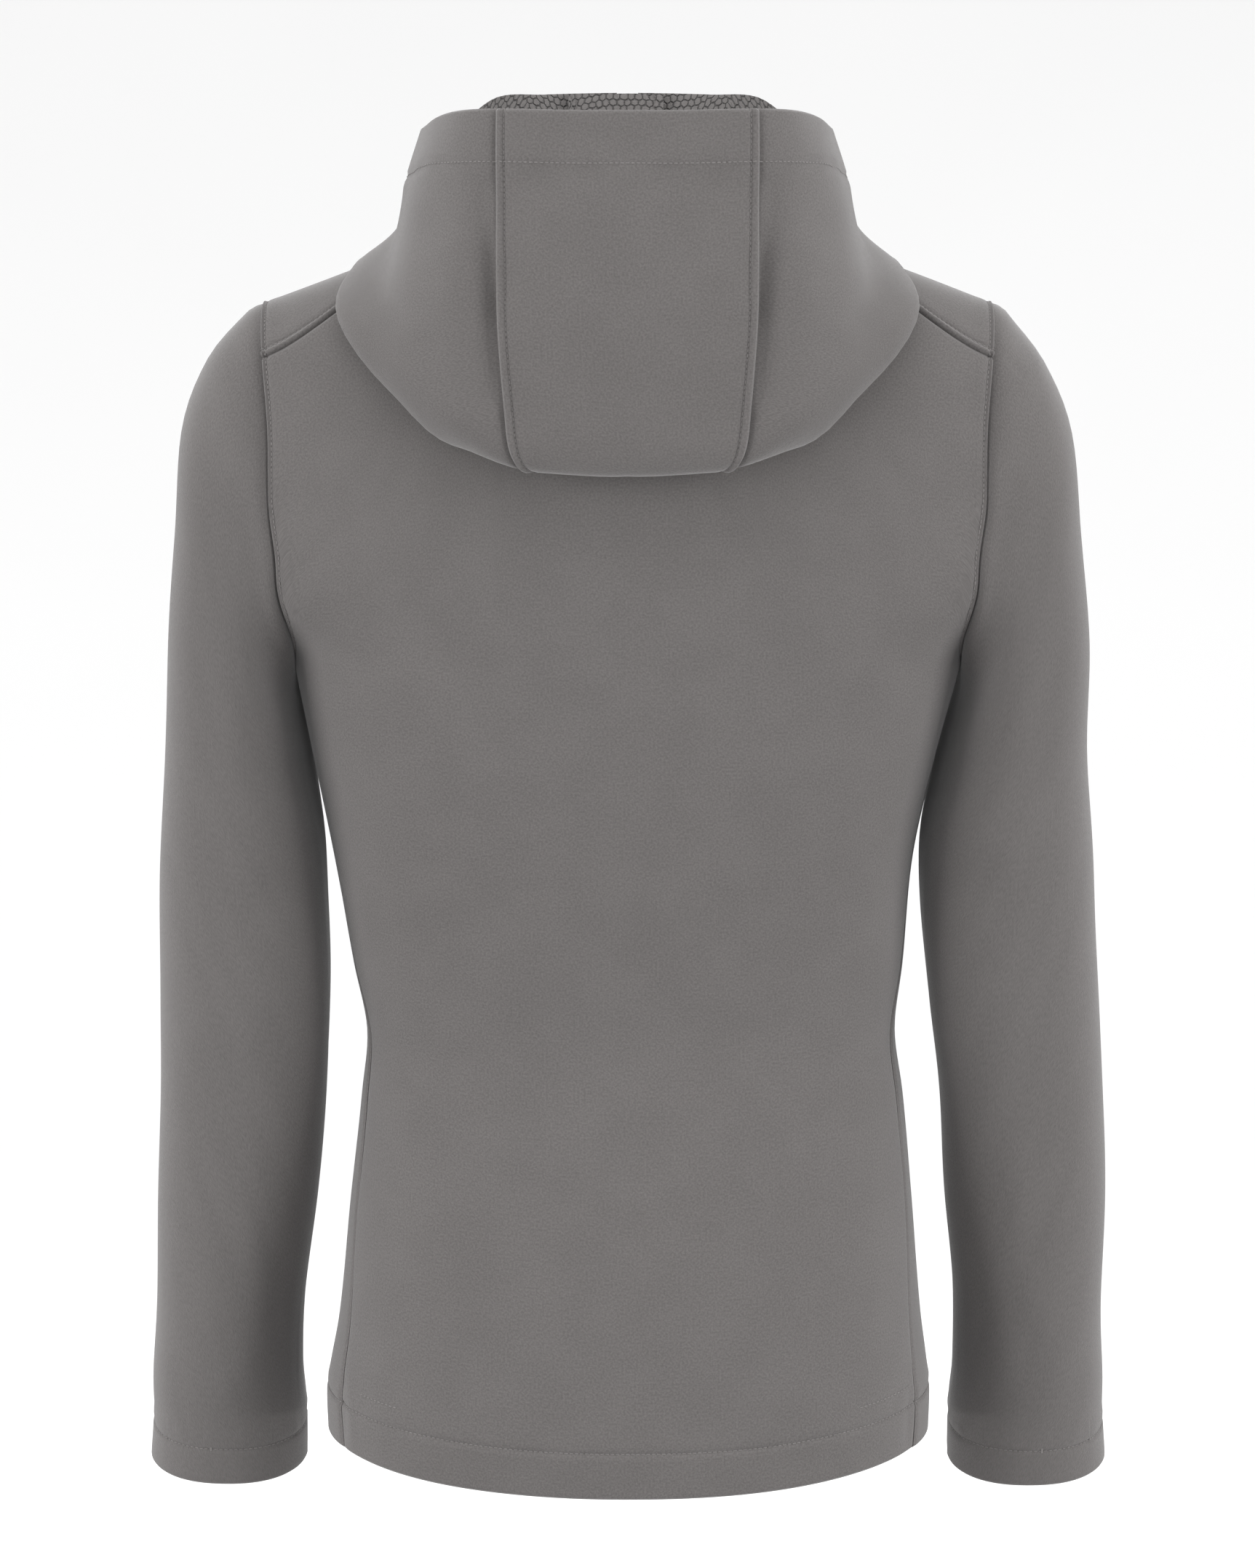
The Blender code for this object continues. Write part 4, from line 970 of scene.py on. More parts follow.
def make_back():
    """The back: both halves on one grid, with side seams, armholes, shoulder seam and hem."""
    share = np.concatenate([backs[-1][0][:0:-1], backs[1][0]])
    points = np.concatenate([backs[-1][1][:, :0:-1], backs[1][1]], axis=1)
    outward = facing_away(points, out_of(points), AHEAD_OF_BACK)
    height, hem, across, top, on_shoulder = body_heights(points, outward, share, BACK_SEED)
    side_edge = np.minimum(across, to_end(across, 1))
    height = height + arm_edge(side_edge) + ditch(top, SHOULDER_DITCH, DITCH_WIDTH) * on_shoulder
    outer, inner = wall(points, outward, height, rim(hem))
    uv = np.stack([across - across[:, [across.shape[1] // 2]], hem], -1)
    piece = shell("back_cloth", outer, inner, uv, [softshell, fleece])
    declare(piece, "back")
    return outer, outward, hem, across


back_outer, back_out, back_hem, back_across = make_back()

# %% The fronts
FRONT_SEED = 21
ZIP_ROLL = 0.0006
SHOULDER_ROLL = 0.0013
BEHIND_FRONT = np.array((0.0, 0.15, -0.35))


def make_front(side):
    """A front: zip edge, side seam and armhole, the roll of the shoulder seam, and the hem."""
    word = "left" if side > 0 else "right"
    share, points = fronts[side]
    outward = facing_away(points, out_of(points), BEHIND_FRONT)
    height, hem, across, top, on_shoulder = body_heights(points, outward, share, FRONT_SEED + side)
    height = height + arm_edge(to_end(across, 1)) + lapped_seam(across, ZIP_STITCH, ZIP_ROLL)
    height = height + lapped_seam(top, SHOULDER_STITCH, SHOULDER_ROLL) * on_shoulder
    outer, inner = wall(points, outward, height, np.minimum(rim(hem), rim(across)))
    piece = shell("front_" + word + "_cloth", outer, inner, np.stack([across, hem], -1), [softshell, fleece])
    declare(piece, "front_" + word)
    return outer, outward, hem, across


front_made = {side: make_front(side) for side in (1, -1)}

# %% [markdown]
# ## Sleeves
# Each sleeve is a tube set into the armhole. Its first ring is the armhole edge itself, and over the first
# rings it eases into a rounded oval that follows the arm down to the cuff. The table gives the outer and
# inner edges of the sleeve as they are seen from behind, and its depth.

# %% Sizes of the sleeves
SLEEVE_COLUMNS = ("z_out", "out_left", "out_right", "z_in", "in_left", "in_right",
                  "y", "depth", "lean", "tilt")
SLEEVE_ROWS = (
    (-0.0485, 0.1930, 0.1930, -0.235, 0.1780, 0.1780, 0.002, 0.0580, 0.10, 0.00),
    (-0.0590, 0.2085, 0.2060, -0.240, 0.1784, 0.1784, 0.002, 0.0590, 0.05, 0.00),
    (-0.0790, 0.2240, 0.2214, -0.247, 0.1776, 0.1776, 0.002, 0.0595, 0.07, 0.00),
    (-0.1100, 0.2345, 0.2336, -0.258, 0.1764, 0.1760, 0.002, 0.0595, 0.11, 0.00),
    (-0.1600, 0.2367, 0.2376, -0.275, 0.1740, 0.1720, 0.003, 0.0585, 0.16, 0.00),
    (-0.2200, 0.2408, 0.2420, -0.300, 0.1700, 0.1660, 0.003, 0.0565, 0.20, 0.01),
    (-0.2850, 0.2452, 0.2437, -0.332, 0.1640, 0.1590, 0.002, 0.0540, 0.16, 0.02),
    (-0.3500, 0.2500, 0.2495, -0.368, 0.1616, 0.1581, 0.000, 0.0515, 0.08, 0.03),
    (-0.4150, 0.2515, 0.2535, -0.412, 0.1602, 0.1615, -0.003, 0.0490, 0.02, 0.06),
    (-0.4700, 0.2525, 0.2570, -0.465, 0.1624, 0.1680, -0.009, 0.0470, 0.00, 0.10),
    (-0.5300, 0.2555, 0.2597, -0.527, 0.1679, 0.1726, -0.016, 0.0450, 0.00, 0.14),
    (-0.5900, 0.2575, 0.2590, -0.587, 0.1755, 0.1779, -0.025, 0.0435, 0.00, 0.17),
    (-0.6320, 0.2605, 0.2612, -0.628, 0.1778, 0.1785, -0.032, 0.0430, 0.00, 0.19),
    (-0.6560, 0.2605, 0.2612, -0.652, 0.1768, 0.1765, -0.037, 0.0428, 0.00, 0.20),
    (-0.6810, 0.2625, 0.2630, -0.682, 0.1772, 0.1765, -0.042, 0.0425, 0.00, 0.20),
)
SLEEVE_POWER = 2.25
ARMHOLE_KEPT_RINGS = 4.0
CUFF_TURN = 0.021
SEAM_ALLOWANCE = 0.0030
LAST_RING = len(SLEEVE_ROWS) - 1.0
RING_SAMPLES = 600
CUFF_SEED = 31
SLEEVE_SEED = 41
SLEEVE_UNEVEN = (0.09, 0.0010)
ARM_DITCH = 0.0008
UNDERARM_DITCH = 0.0005
CAP_FULLNESS = 0.0012
CAP_PLACE = (0.007, 0.005)

SLEEVE_CREASES = {
    1: (
        (217, -70, 194, -162, -5, 7, 1.3),
        (225, -80, 206, -168, -6, 9, -1.4),
        (206, -190, 190, -270, 6, 12, -1.0),
        (191, -540, 183, -645, 3, 9, -1.5),
        (205, -380, 178, -352, 4, 11, -1.2),
        (222, -300, 186, -330, -6, 13, 1.0),
        (236, -430, 196, -450, 5, 16, 0.8),
        (228, -480, 200, -560, 8, 15, 0.9),
        (240, -560, 226, -640, -5, 14, -0.8),
        (222, -630, 196, -618, 3, 9, 0.7),
    ),
    -1: (
        (-213.5, -68.6, -203.8, -82.7, 1.5, 3.0, -1.0),
        (-220, -72, -208, -92, 2, 3.5, 0.8),
        (-217, -84, -195, -166, 6, 9, -1.2),
        (-210, -76, -190, -158, 5, 7, 1.0),
        (-207, -196, -192, -280, -6, 12, -1.0),
        (-204, -372, -176, -350, -4, 11, -1.2),
        (-224, -310, -188, -336, 6, 13, 1.0),
        (-212, -490, -222, -600, -6, 9, 1.1),
        (-206, -520, -214, -640, 5, 12, -1.0),
        (-240, -450, -232, -560, 6, 15, 0.8),
        (-190, -575, -184, -650, -3, 9, -1.1),
    ),
}
SLEEVE_FRONT_CREASES = (
    (226, -270, 182, -300, -6, 12, -1.6),
    (230, -320, 184, -332, 5, 12, 1.4),
    (232, -360, 180, -350, 6, 13, -1.5),
    (214, -110, 190, -205, 6, 11, -1.2),
    (236, -470, 196, -520, -6, 15, 1.0),
    (238, -590, 200, -560, 5, 14, -0.9),
)


def sleeve_at(name, ring):
    """A sleeve size at a ring number."""
    values = np.array(SLEEVE_ROWS)[:, SLEEVE_COLUMNS.index(name)]
    return through(np.arange(len(values), dtype=float), values, ring)


def sleeve_ring(ring, turn, side):
    """Rounded oval of a ring on two leaning half axes: 0 is the outside and a quarter turn the back."""
    hand = "left" if side > 0 else "right"
    out = np.stack([side * sleeve_at("out_" + hand, ring), 0 * ring, sleeve_at("z_out", ring)], -1)
    inside = np.stack([side * sleeve_at("in_" + hand, ring), 0 * ring, sleeve_at("z_in", ring)], -1)
    depth = sleeve_at("depth", ring)
    back = np.stack([side * depth * sleeve_at("lean", ring), depth, -depth * sleeve_at("tilt", ring)], -1)
    middle = (out + inside) / 2
    middle[..., 1] = sleeve_at("y", ring)
    cosine, sine = np.cos(turn), np.sin(turn)
    size = (np.abs(cosine) ** SLEEVE_POWER + np.abs(sine) ** SLEEVE_POWER) ** (1 / SLEEVE_POWER)
    return middle + (out - inside) / 2 * (cosine / size)[..., None] + back * (sine / size)[..., None]


def sleeve_rings(side):
    """Ring numbers at an even step along the sleeve, crowded at the armhole, the cuff and its stitching."""
    numbers = np.linspace(0, LAST_RING, RING_SAMPLES)
    outside = along_cloth(sleeve_ring(numbers, 0 * numbers, side), 0)
    inside = along_cloth(sleeve_ring(numbers, 0 * numbers + np.pi, side), 0)
    run = (outside + inside) / 2
    places = spaced(run[-1], CLOTH_STEP, (0, run[-1], run[-1] - CUFF_TURN), STITCH_STEPS)
    return np.interp(places, run, numbers)


print("sleeve table of", len(SLEEVE_ROWS), "rings")

# %% The sleeves


def sleeve_points(side):
    """The tube: the armhole edge, its leftover shape fading over the first rings, and the rounded ovals."""
    armhole = np.concatenate([backs[side][1][ARM_ROW:, -1][::-1], fronts[side][1][ARM_ROW + 1:-1, -1]])
    first = dict(zip(SLEEVE_COLUMNS, SLEEVE_ROWS[0]))
    middle_z = (first["z_out"] + first["z_in"]) / 2
    turn = np.arctan2((armhole[:, 1] - first["y"]) / first["depth"],
                      (armhole[:, 2] - middle_z) / (first["z_out"] - middle_z))
    rings, turns = np.broadcast_arrays(sleeve_rings(side)[:, None], turn[None, :])
    kept = np.clip(1 - rings / ARMHOLE_KEPT_RINGS, 0, 1)[..., None] ** 2
    return sleeve_ring(rings, turns, side) + (armhole - sleeve_ring(0 * turns[:1], turns[:1], side)) * kept


def make_sleeve(side):
    """A sleeve: ditch and fullness at the armhole, underarm seam, turned cuff, creases on both faces."""
    word = "left" if side > 0 else "right"
    points = sleeve_points(side)
    outward = facing_away(points, out_of(points, wraps=True), points.mean(1, keepdims=True))
    run = along_cloth(points, 0)
    cuff = to_end(run, 0)
    looped = np.concatenate([points, points[:, :1]], axis=1)
    around = along_cloth(looped, 1)
    underarm = np.abs(around - around[:, [len(LEVELS) - 1 - ARM_ROW]])[:, :-1]
    height = turned_hem(cuff, CUFF_TURN, around[:, :-1], CUFF_SEED + side)
    height = height + uneven(points, *SLEEVE_UNEVEN, SLEEVE_SEED + side)
    height = height + ditch(run, ARM_DITCH, DITCH_WIDTH) + CAP_FULLNESS * hill(run, *CAP_PLACE)
    height = height + ditch(underarm, UNDERARM_DITCH, DITCH_WIDTH)
    height = height + creased(points, outward, SLEEVE_CREASES[side], seen_from_behind, TOWARDS_VIEWER)
    front_rows = mirrored(SLEEVE_FRONT_CREASES, side)
    height = height + creased(points, outward, front_rows, seen_from_front, TOWARDS_FRONT)
    outer, inner = wall(points, outward, height, rim(cuff))
    inward = np.array((side * SEAM_ALLOWANCE, 0.0, 0.0))
    outer = np.concatenate([outer[:1] - inward, outer])
    inner = np.concatenate([inner[:1] - inward, inner])
    uv = np.stack([around, np.concatenate([run, run[:, :1]], axis=1)], -1)
    uv = np.concatenate([uv[:1] - (0, SEAM_ALLOWANCE), uv])
    piece = shell("sleeve_" + word + "_cloth", outer, inner, uv, [softshell, fleece], wraps=True)
    declare(piece, "sleeve_" + word)
    return outer[1:], outward, run


sleeve_made = {side: make_sleeve(side) for side in (1, -1)}

# %% [markdown]
# ## The hood, lying down
# Three panels: a long centre strip and two sides. From the neck seam the hood runs out over the shoulders,
# folds, and rises again to its rim behind the neck. In front the side panels stand up as the collar beside
# the zip. The profile in each direction round the neck is a row of the table: where it folds, and the
# radius and height of its four bends.

# %% Sizes and profile of the hood
HOOD_AXIS_Y = 0.015
UNDER_CLEARANCE = 0.0040
HOOD_COLUMNS = ("deg", "fold_in", "low_r", "low_z", "waist_r", "waist_z", "bulge_r", "bulge_z",
                "rim_r", "rim_z", "handle")
# The last row repeats the one before the centre back, so that the curve runs level across it
HOOD_ROWS = (
    (0.0, 0.0955, 0.0965, -0.036, 0.0985, -0.012, 0.1010, 0.026, 0.1030, 0.0635, 0.004),
    (25.0, 0.0930, 0.0950, -0.019, 0.0985, -0.003, 0.1035, 0.028, 0.1070, 0.0625, 0.003),
    (40.0, 0.0960, 0.1030, -0.031, 0.1055, -0.008, 0.1090, 0.026, 0.1110, 0.0612, 0.005),
    (52.0, 0.1020, 0.1130, -0.033, 0.1120, -0.010, 0.1130, 0.022, 0.1120, 0.0500, 0.006),
    (72.0, 0.1180, 0.1345, -0.023, 0.1225, -0.005, 0.1155, 0.021, 0.1060, 0.0465, 0.005),
    (92.0, 0.1240, 0.1425, -0.0235, 0.1215, -0.0060, 0.1160, 0.019, 0.1070, 0.0470, 0.005),
    (108.0, 0.1385, 0.1550, -0.043, 0.1310, -0.021, 0.1198, 0.018, 0.1095, 0.0495, 0.014),
    (123.0, 0.1225, 0.1465, -0.068, 0.1385, -0.035, 0.1255, 0.016, 0.1138, 0.0555, 0.016),
    (137.0, 0.1035, 0.1365, -0.0885, 0.1340, -0.042, 0.1262, 0.012, 0.1185, 0.0584, 0.022),
    (148.0, 0.0925, 0.1265, -0.1035, 0.1280, -0.0475, 0.1225, 0.010, 0.1170, 0.0590, 0.027),
    (164.0, 0.0845, 0.1160, -0.1070, 0.1195, -0.050, 0.1140, 0.010, 0.1087, 0.0585, 0.030),
    (180.0, 0.0825, 0.1125, -0.1075, 0.1165, -0.051, 0.1105, 0.010, 0.1050, 0.0585, 0.030),
    (196.0, 0.0845, 0.1160, -0.1070, 0.1195, -0.050, 0.1140, 0.010, 0.1087, 0.0585, 0.030),
)
BENDS = ("low", "waist", "bulge", "rim")
FOLLOW_DEG = (28.0, 46.0)
STAND_START = 0.014
UNDER_CROWD = 1.3
LIFTED_SHARE = 0.25
REACH_LIMIT = 0.995
UNDER_STEPS = 5.0
FOLD_STEPS = 4.0
RISE_STEPS = 7.0
LAST_STEP = UNDER_STEPS + FOLD_STEPS + RISE_STEPS
PANEL_SEAM_DEG = (151.5, 145.5)
SIDE_COLUMNS = 12.0
HALF_COLUMNS = 15.0
ZIP_DEG = 3.2
TAPE_DEG = 9.0
NECK_FRONT_PLACES = ((0, 2, 3, 4, 5, 6), (ZIP_SHARE, 0.15, 0.25, 0.32, 0.355, NECK_PLACE))
NECK_BACK_PLACES = ((6, 8, 10, 12, 15), (NECK_PLACE, 0.34, 0.26, 0.13, 0.0))


def hood_at(name, degrees):
    """A hood size in a direction round from the centre front."""
    rows = np.array(HOOD_ROWS)
    return through(rows[:, 0], rows[:, HOOD_COLUMNS.index(name)], degrees)


def body_height(x, y):
    """Height of the shoulders and upper back under a point seen from above."""
    is_back = y > 0
    across = np.clip(np.abs(x) / SHOULDER_TIP, 0, 1)
    edge = np.where(is_back, ARM_BACK_DEPTH, ARM_FRONT_DEPTH)
    middle = np.where(is_back, body_at("back", UNDERARM_Z), body_at("front", UNDERARM_Z))
    depth = edge + (middle - edge) * (1 - across ** 2)
    power = np.where(is_back, ARCH_POWER_BACK, mix(ARCH_POWER_CHEST, ARCH_POWER_FRONT_EDGE, across))
    reach = np.clip(np.abs(y) / depth, 0, REACH_LIMIT)
    return UNDERARM_Z + (ridge_height(x) - UNDERARM_Z) * (1 - reach ** power) ** (1 / power)


def under_hood(degrees, step, neck_r, neck_z):
    """From the neck seam the cloth follows the shoulders, a little lifted. Near the zip it stands up."""
    turn = np.radians(degrees)
    part = 1 - (1 - np.clip(step / UNDER_STEPS, 0, 1)) ** UNDER_CROWD
    clear = UNDER_CLEARANCE * ease(0, LIFTED_SHARE, part)
    radius = mix(neck_r, hood_at("fold_in", degrees), part)
    body_r = np.maximum(radius - clear, neck_r)
    surface = body_height(body_r * np.sin(turn), HOOD_AXIS_Y - body_r * np.cos(turn))
    start = body_height(neck_r * np.sin(turn), HOOD_AXIS_Y - neck_r * np.cos(turn))
    over_body = surface + (neck_z - start) * (1 - part) + clear
    follow = ease(*FOLLOW_DEG, degrees)
    return np.stack([radius, mix(neck_z + STAND_START * part, over_body, follow)], -1)


def hood_rise(degrees, step):
    """A cubic through the four bends: low fold, waist, bulge and rim."""
    places = [[hood_at(bend + axis, degrees) for axis in ("_r", "_z")] for bend in BENDS]
    bends = np.stack([np.stack(place, -1) for place in places])
    slopes = np.gradient(bends, axis=0)
    at = np.clip(step / RISE_STEPS, 0, 1) * (len(BENDS) - 1)
    index = np.clip(np.floor(at).astype(int), 0, len(BENDS) - 2)
    part = (at - index)[..., None]
    low, high = index[None, ..., None], index[None, ..., None] + 1
    start, end = np.take_along_axis(bends, low, 0)[0], np.take_along_axis(bends, high, 0)[0]
    leave, arrive = np.take_along_axis(slopes, low, 0)[0], np.take_along_axis(slopes, high, 0)[0]
    return (start * (1 + 2 * part) * (1 - part) ** 2 + leave * part * (1 - part) ** 2
            + end * part ** 2 * (3 - 2 * part) + arrive * part ** 2 * (part - 1))


def hood_profile(degrees, step, neck_r, neck_z):
    """Radius and height along the hood: the under part, a fold that is a cubic with two handles, the rise."""
    under = under_hood(degrees, step, neck_r, neck_z)
    rise = hood_rise(degrees, step - UNDER_STEPS - FOLD_STEPS)
    start = under_hood(degrees, 0 * step + UNDER_STEPS, neck_r, neck_z)
    leave = unit(start - under_hood(degrees, 0 * step + UNDER_STEPS - 1, neck_r, neck_z))
    low = hood_rise(degrees, 0 * step)
    arrive = unit(hood_rise(degrees, 0 * step + 1) - low)
    handle = hood_at("handle", degrees)[..., None]
    part = np.clip((step - UNDER_STEPS) / FOLD_STEPS, 0, 1)[..., None]
    fold = (start * (1 - part) ** 3 + 3 * (start + handle * leave) * part * (1 - part) ** 2
            + 3 * (low - handle * arrive) * part ** 2 * (1 - part) + low * part ** 3)
    folded = np.where((step < UNDER_STEPS)[..., None], under, fold)
    return np.where((step > UNDER_STEPS + FOLD_STEPS)[..., None], rise, folded)


def round_neck(degrees, profile, side):
    """Points from directions, radii and heights about the upright axis behind the neck's middle."""
    turn = np.radians(degrees)
    radius, height = profile[..., 0], profile[..., 1]
    return np.stack([side * radius * np.sin(turn), HOOD_AXIS_Y - radius * np.cos(turn), height], -1)


def hood_half(columns, steps, side):
    """Half the hood: columns start on the panels' neck edge and spread to even directions from it."""
    across, along = np.asarray(columns, float)[None, :], np.asarray(steps, float)[:, None]
    columns, steps = np.broadcast_arrays(across, along)
    in_front = panel(panel_share(np.interp(columns, *NECK_FRONT_PLACES)), 2.0, False, side)
    behind = panel(np.maximum(panel_share(np.interp(columns, *NECK_BACK_PLACES)), TINY), 2.0, True, side)
    neck = np.where((columns <= NECK_FRONT_PLACES[0][-1])[..., None], in_front, behind)
    deep = neck[..., 1] - HOOD_AXIS_Y
    at_neck = np.degrees(np.arctan2(np.abs(neck[..., 0]), -deep))
    seam = np.interp(steps, (UNDER_STEPS + FOLD_STEPS / 2, LAST_STEP), PANEL_SEAM_DEG)
    side_share = np.clip((columns - 1) / (SIDE_COLUMNS - 1), 0, 1)
    centre_share = np.clip((columns - SIDE_COLUMNS) / (HALF_COLUMNS - SIDE_COLUMNS), 0, 1)
    even = TAPE_DEG + (seam - TAPE_DEG) * side_share + (180 - seam) * centre_share
    even = np.where(columns < 1, mix(ZIP_DEG, TAPE_DEG, columns), even)
    degrees = mix(at_neck, even, ease(0, UNDER_STEPS - 1, steps))
    return round_neck(degrees, hood_profile(degrees, steps, np.hypot(neck[..., 0], deep), neck[..., 2]), side)


print("hood table of", len(HOOD_ROWS), "directions")

# %% Creases of the hood
HOOD_HEM = 0.0270
HOOD_STITCH = 0.0046
RISE_LENGTH = 0.170
COLUMN_WIDTH = 0.026
HOOD_SIDE_CREASES = (
    (77, 16, 70.5, -104, 0, 5.0, -3.0),
    (74.5, -12, 72, -60, 0, 4.0, -2.2),
    (92, 6, 88, -90, -3, 13, 2.4),
    (69, -103, 84, -121, 1, 2.8, 1.3),
    (74, -109, 87, -125, 1, 3.2, -1.3),
    (140.6, -35, 119.5, -58.5, 4, 5, -0.8),
    (112, 6, 106, 38, -3, 12, 0.8),
    (118, -4, 86, -16, 4, 9, -0.9),
    (81, 22, 76, 2, 2, 7, -1.4),
)
HOOD_CENTRE_CREASES = (
    (62.8, -14, 63.5, -46, 0, 6.0, -1.3),
    (-62.8, -14, -63.5, -46, 0, 6.0, -1.3),
    (50, -36, -48, -35, -2.0, 3.0, -0.45),
    (29.8, 26, 13.5, 18.7, 1.5, 5, -1.3),
    (13.5, 18.7, -2, 28, 1.5, 5, 0.8),
    (-29.8, 26, -13.5, 18.7, -1.5, 5, -1.2),
    (56, 28, 44, 10, 2, 9, -1.7),
    (-56, 28, -42, 12, -2, 9, -1.6),
    (40, 10, 10, 4, -2, 10, 0.6),
    (-38, 8, -8, 2, 2, 10, 0.5),
    (46, -58, 36, -92, 4, 14, 0.6),
    (-44, -60, -34, -94, -4, 14, -0.6),
)

print(len(HOOD_SIDE_CREASES), "creases on a side,", len(HOOD_CENTRE_CREASES), "on the centre panel")

# %% The hood's panels
HOOD_OPEN_MIDDLE = np.array((0.0, HOOD_AXIS_Y, 0.0))
CREASED_FROM_Y = (-0.02, 0.01)
FOLD_TIP = 8.2
FOLD_TIP_WIDTH = 1.0
FOLD_PINCH = 0.80
UNDER_ROWS, FOLD_ROWS = 26, 22
HOOD_SIDE_HEM_SEED, HOOD_SIDE_SEED = 51, 61
HOOD_CENTRE_HEM_SEED, HOOD_CENTRE_SEED = 71, 72
HOOD_SIDE_UNEVEN = (0.08, 0.0009)
HOOD_CENTRE_UNEVEN = (0.06, 0.0005)
HOOD_DITCH = (0.0014, 0.0020)
NECK_DITCH = (0.0005, 0.0015)
NECK_EASE = 0.01
HOOD_ROLL = 0.0014


def hood_steps():
    """Steps from neck seam to rim, crowded along the rim's hem."""
    fine = (RISE_LENGTH, RISE_LENGTH - HOOD_HEM)
    rise = spaced(RISE_LENGTH, CLOTH_STEP, fine, STITCH_STEPS) / RISE_LENGTH
    under = np.linspace(0, UNDER_STEPS, UNDER_ROWS)[:-1]
    fold = UNDER_STEPS + np.linspace(0, FOLD_STEPS, FOLD_ROWS)[:-1]
    return np.concatenate([under, fold, UNDER_STEPS + FOLD_STEPS + RISE_STEPS * rise])


HOOD_ROW_STEPS = hood_steps()
RISING = HOOD_ROW_STEPS > UNDER_STEPS + FOLD_STEPS
AT_FOLD = hill(HOOD_ROW_STEPS, FOLD_TIP, FOLD_TIP_WIDTH)[:, None]
PINCHED = FOLD_PINCH * AT_FOLD[..., None]


def hood_out(points):
    """Directions out of the hood: away from the neck on the part that rises to the rim."""
    outward = out_of(points)
    away = ((points - HOOD_OPEN_MIDDLE) * outward)[RISING][..., :2].sum(-1).mean()
    return outward * np.sign(away)


def make_hood_side(side):
    """A side panel: its front end is the collar beside the zip, its back end is drawn down to a seam."""
    word = "left" if side > 0 else "right"
    length = SIDE_COLUMNS * COLUMN_WIDTH
    columns = spaced(length, CLOTH_STEP, (0, ZIP_STITCH, length), STITCH_STEPS) / COLUMN_WIDTH
    points = hood_half(columns, HOOD_ROW_STEPS, side)
    outward = hood_out(points)
    run, across = along_cloth(points, 0), along_cloth(points, 1)
    edge_top, seam = to_end(run, 0), to_end(across, 1)
    height = turned_hem(edge_top, HOOD_HEM, across, HOOD_SIDE_HEM_SEED + side) + ditch(seam, *HOOD_DITCH)
    height = height + lapped_seam(across, ZIP_STITCH, ZIP_ROLL)
    height = height + uneven(points, *HOOD_SIDE_UNEVEN, HOOD_SIDE_SEED + side) * (1 - AT_FOLD)
    rows = mirrored(HOOD_SIDE_CREASES, side)
    behind = ease(*CREASED_FROM_Y, points[..., 1])
    height = height + creased(points, outward, rows, seen_from_behind, TOWARDS_VIEWER) * behind
    height = height * ease(0, NECK_EASE, run) + ditch(run, *NECK_DITCH)
    outer, inner = wall(points, outward, height, np.minimum(rim(edge_top), rim(across)))
    inner = mix(inner, outer, PINCHED)
    uv = np.stack([across, run], -1)
    piece = shell("hood_side_" + word + "_cloth", outer, inner, uv, [softshell, fleece])
    declare(piece, "hood_side_" + word)
    return outer, outward, run, across


def make_hood_centre():
    """The centre strip: a roll along each side seam, the rim's hem, soft dents and a crease across."""
    length = (HALF_COLUMNS - SIDE_COLUMNS) * COLUMN_WIDTH
    fine = (0, HOOD_STITCH * ROLL_PLACE, HOOD_STITCH)
    columns = SIDE_COLUMNS + spaced(length, CLOTH_STEP, fine, STITCH_STEPS) / COLUMN_WIDTH
    left, right = (hood_half(columns, HOOD_ROW_STEPS, side) for side in (1, -1))
    points = np.concatenate([left, right[:, -2::-1]], axis=1)
    outward = hood_out(points)
    run, across = along_cloth(points, 0), along_cloth(points, 1)
    edge_top = to_end(run, 0)
    seam = np.minimum(across, to_end(across, 1))
    height = turned_hem(edge_top, HOOD_HEM, across, HOOD_CENTRE_HEM_SEED)
    height = height + lapped_seam(seam, HOOD_STITCH, HOOD_ROLL)
    height = height + creased(points, outward, HOOD_CENTRE_CREASES, seen_from_behind, TOWARDS_VIEWER)
    height = height + uneven(points, *HOOD_CENTRE_UNEVEN, HOOD_CENTRE_SEED)
    outer, inner = wall(points, outward, height * ease(0, NECK_EASE, run), rim(edge_top))
    inner = mix(inner, outer, PINCHED)
    piece = shell("hood_centre_cloth", outer, inner, np.stack([across, run], -1), [softshell, fleece])
    declare(piece, "hood_centre")
    return outer, outward, run, across


hood_side_made = {side: make_hood_side(side) for side in (1, -1)}
hood_centre_made = make_hood_centre()

# %% [markdown]
# ## Behind the zip
# The two zip tapes meet at the centre front behind the edges of the fronts and the collar. A storm flap
# lies behind them: one edge is sewn down beside the zip, the other is free, and both show inside the
# collar's top. The strips follow the inside of the closed front, so they are the same lines moved inwards.

# %% Tapes and storm flap
TAPE_LINES = (0.0005, 0.0045, 0.0090, 0.0140)
TAPE_THICK = 0.0008
TAPE_DEPTH = WALL + 0.0007
FLAP_LINES = (-0.0190, -0.0180, -0.0160, -0.0130, -0.0070, -0.0005, 0.0070, 0.0150,
              0.0220, 0.0260, 0.0285, 0.0300, 0.0310)
FLAP_THICK = 0.0014
FLAP_DEPTH = TAPE_DEPTH + TAPE_THICK + 0.0010
TAPE_TOP = 0.0030
FLAP_TOP = 0.0006
HEM_CLEAR = 0.0020
STRIP_HALF = 0.160
COLLAR_RADIUS = 0.099
NECK_SOFTEN = 0.006
STRIP_ARCH_ROWS, STRIP_COLLAR_ROWS = 46, 24


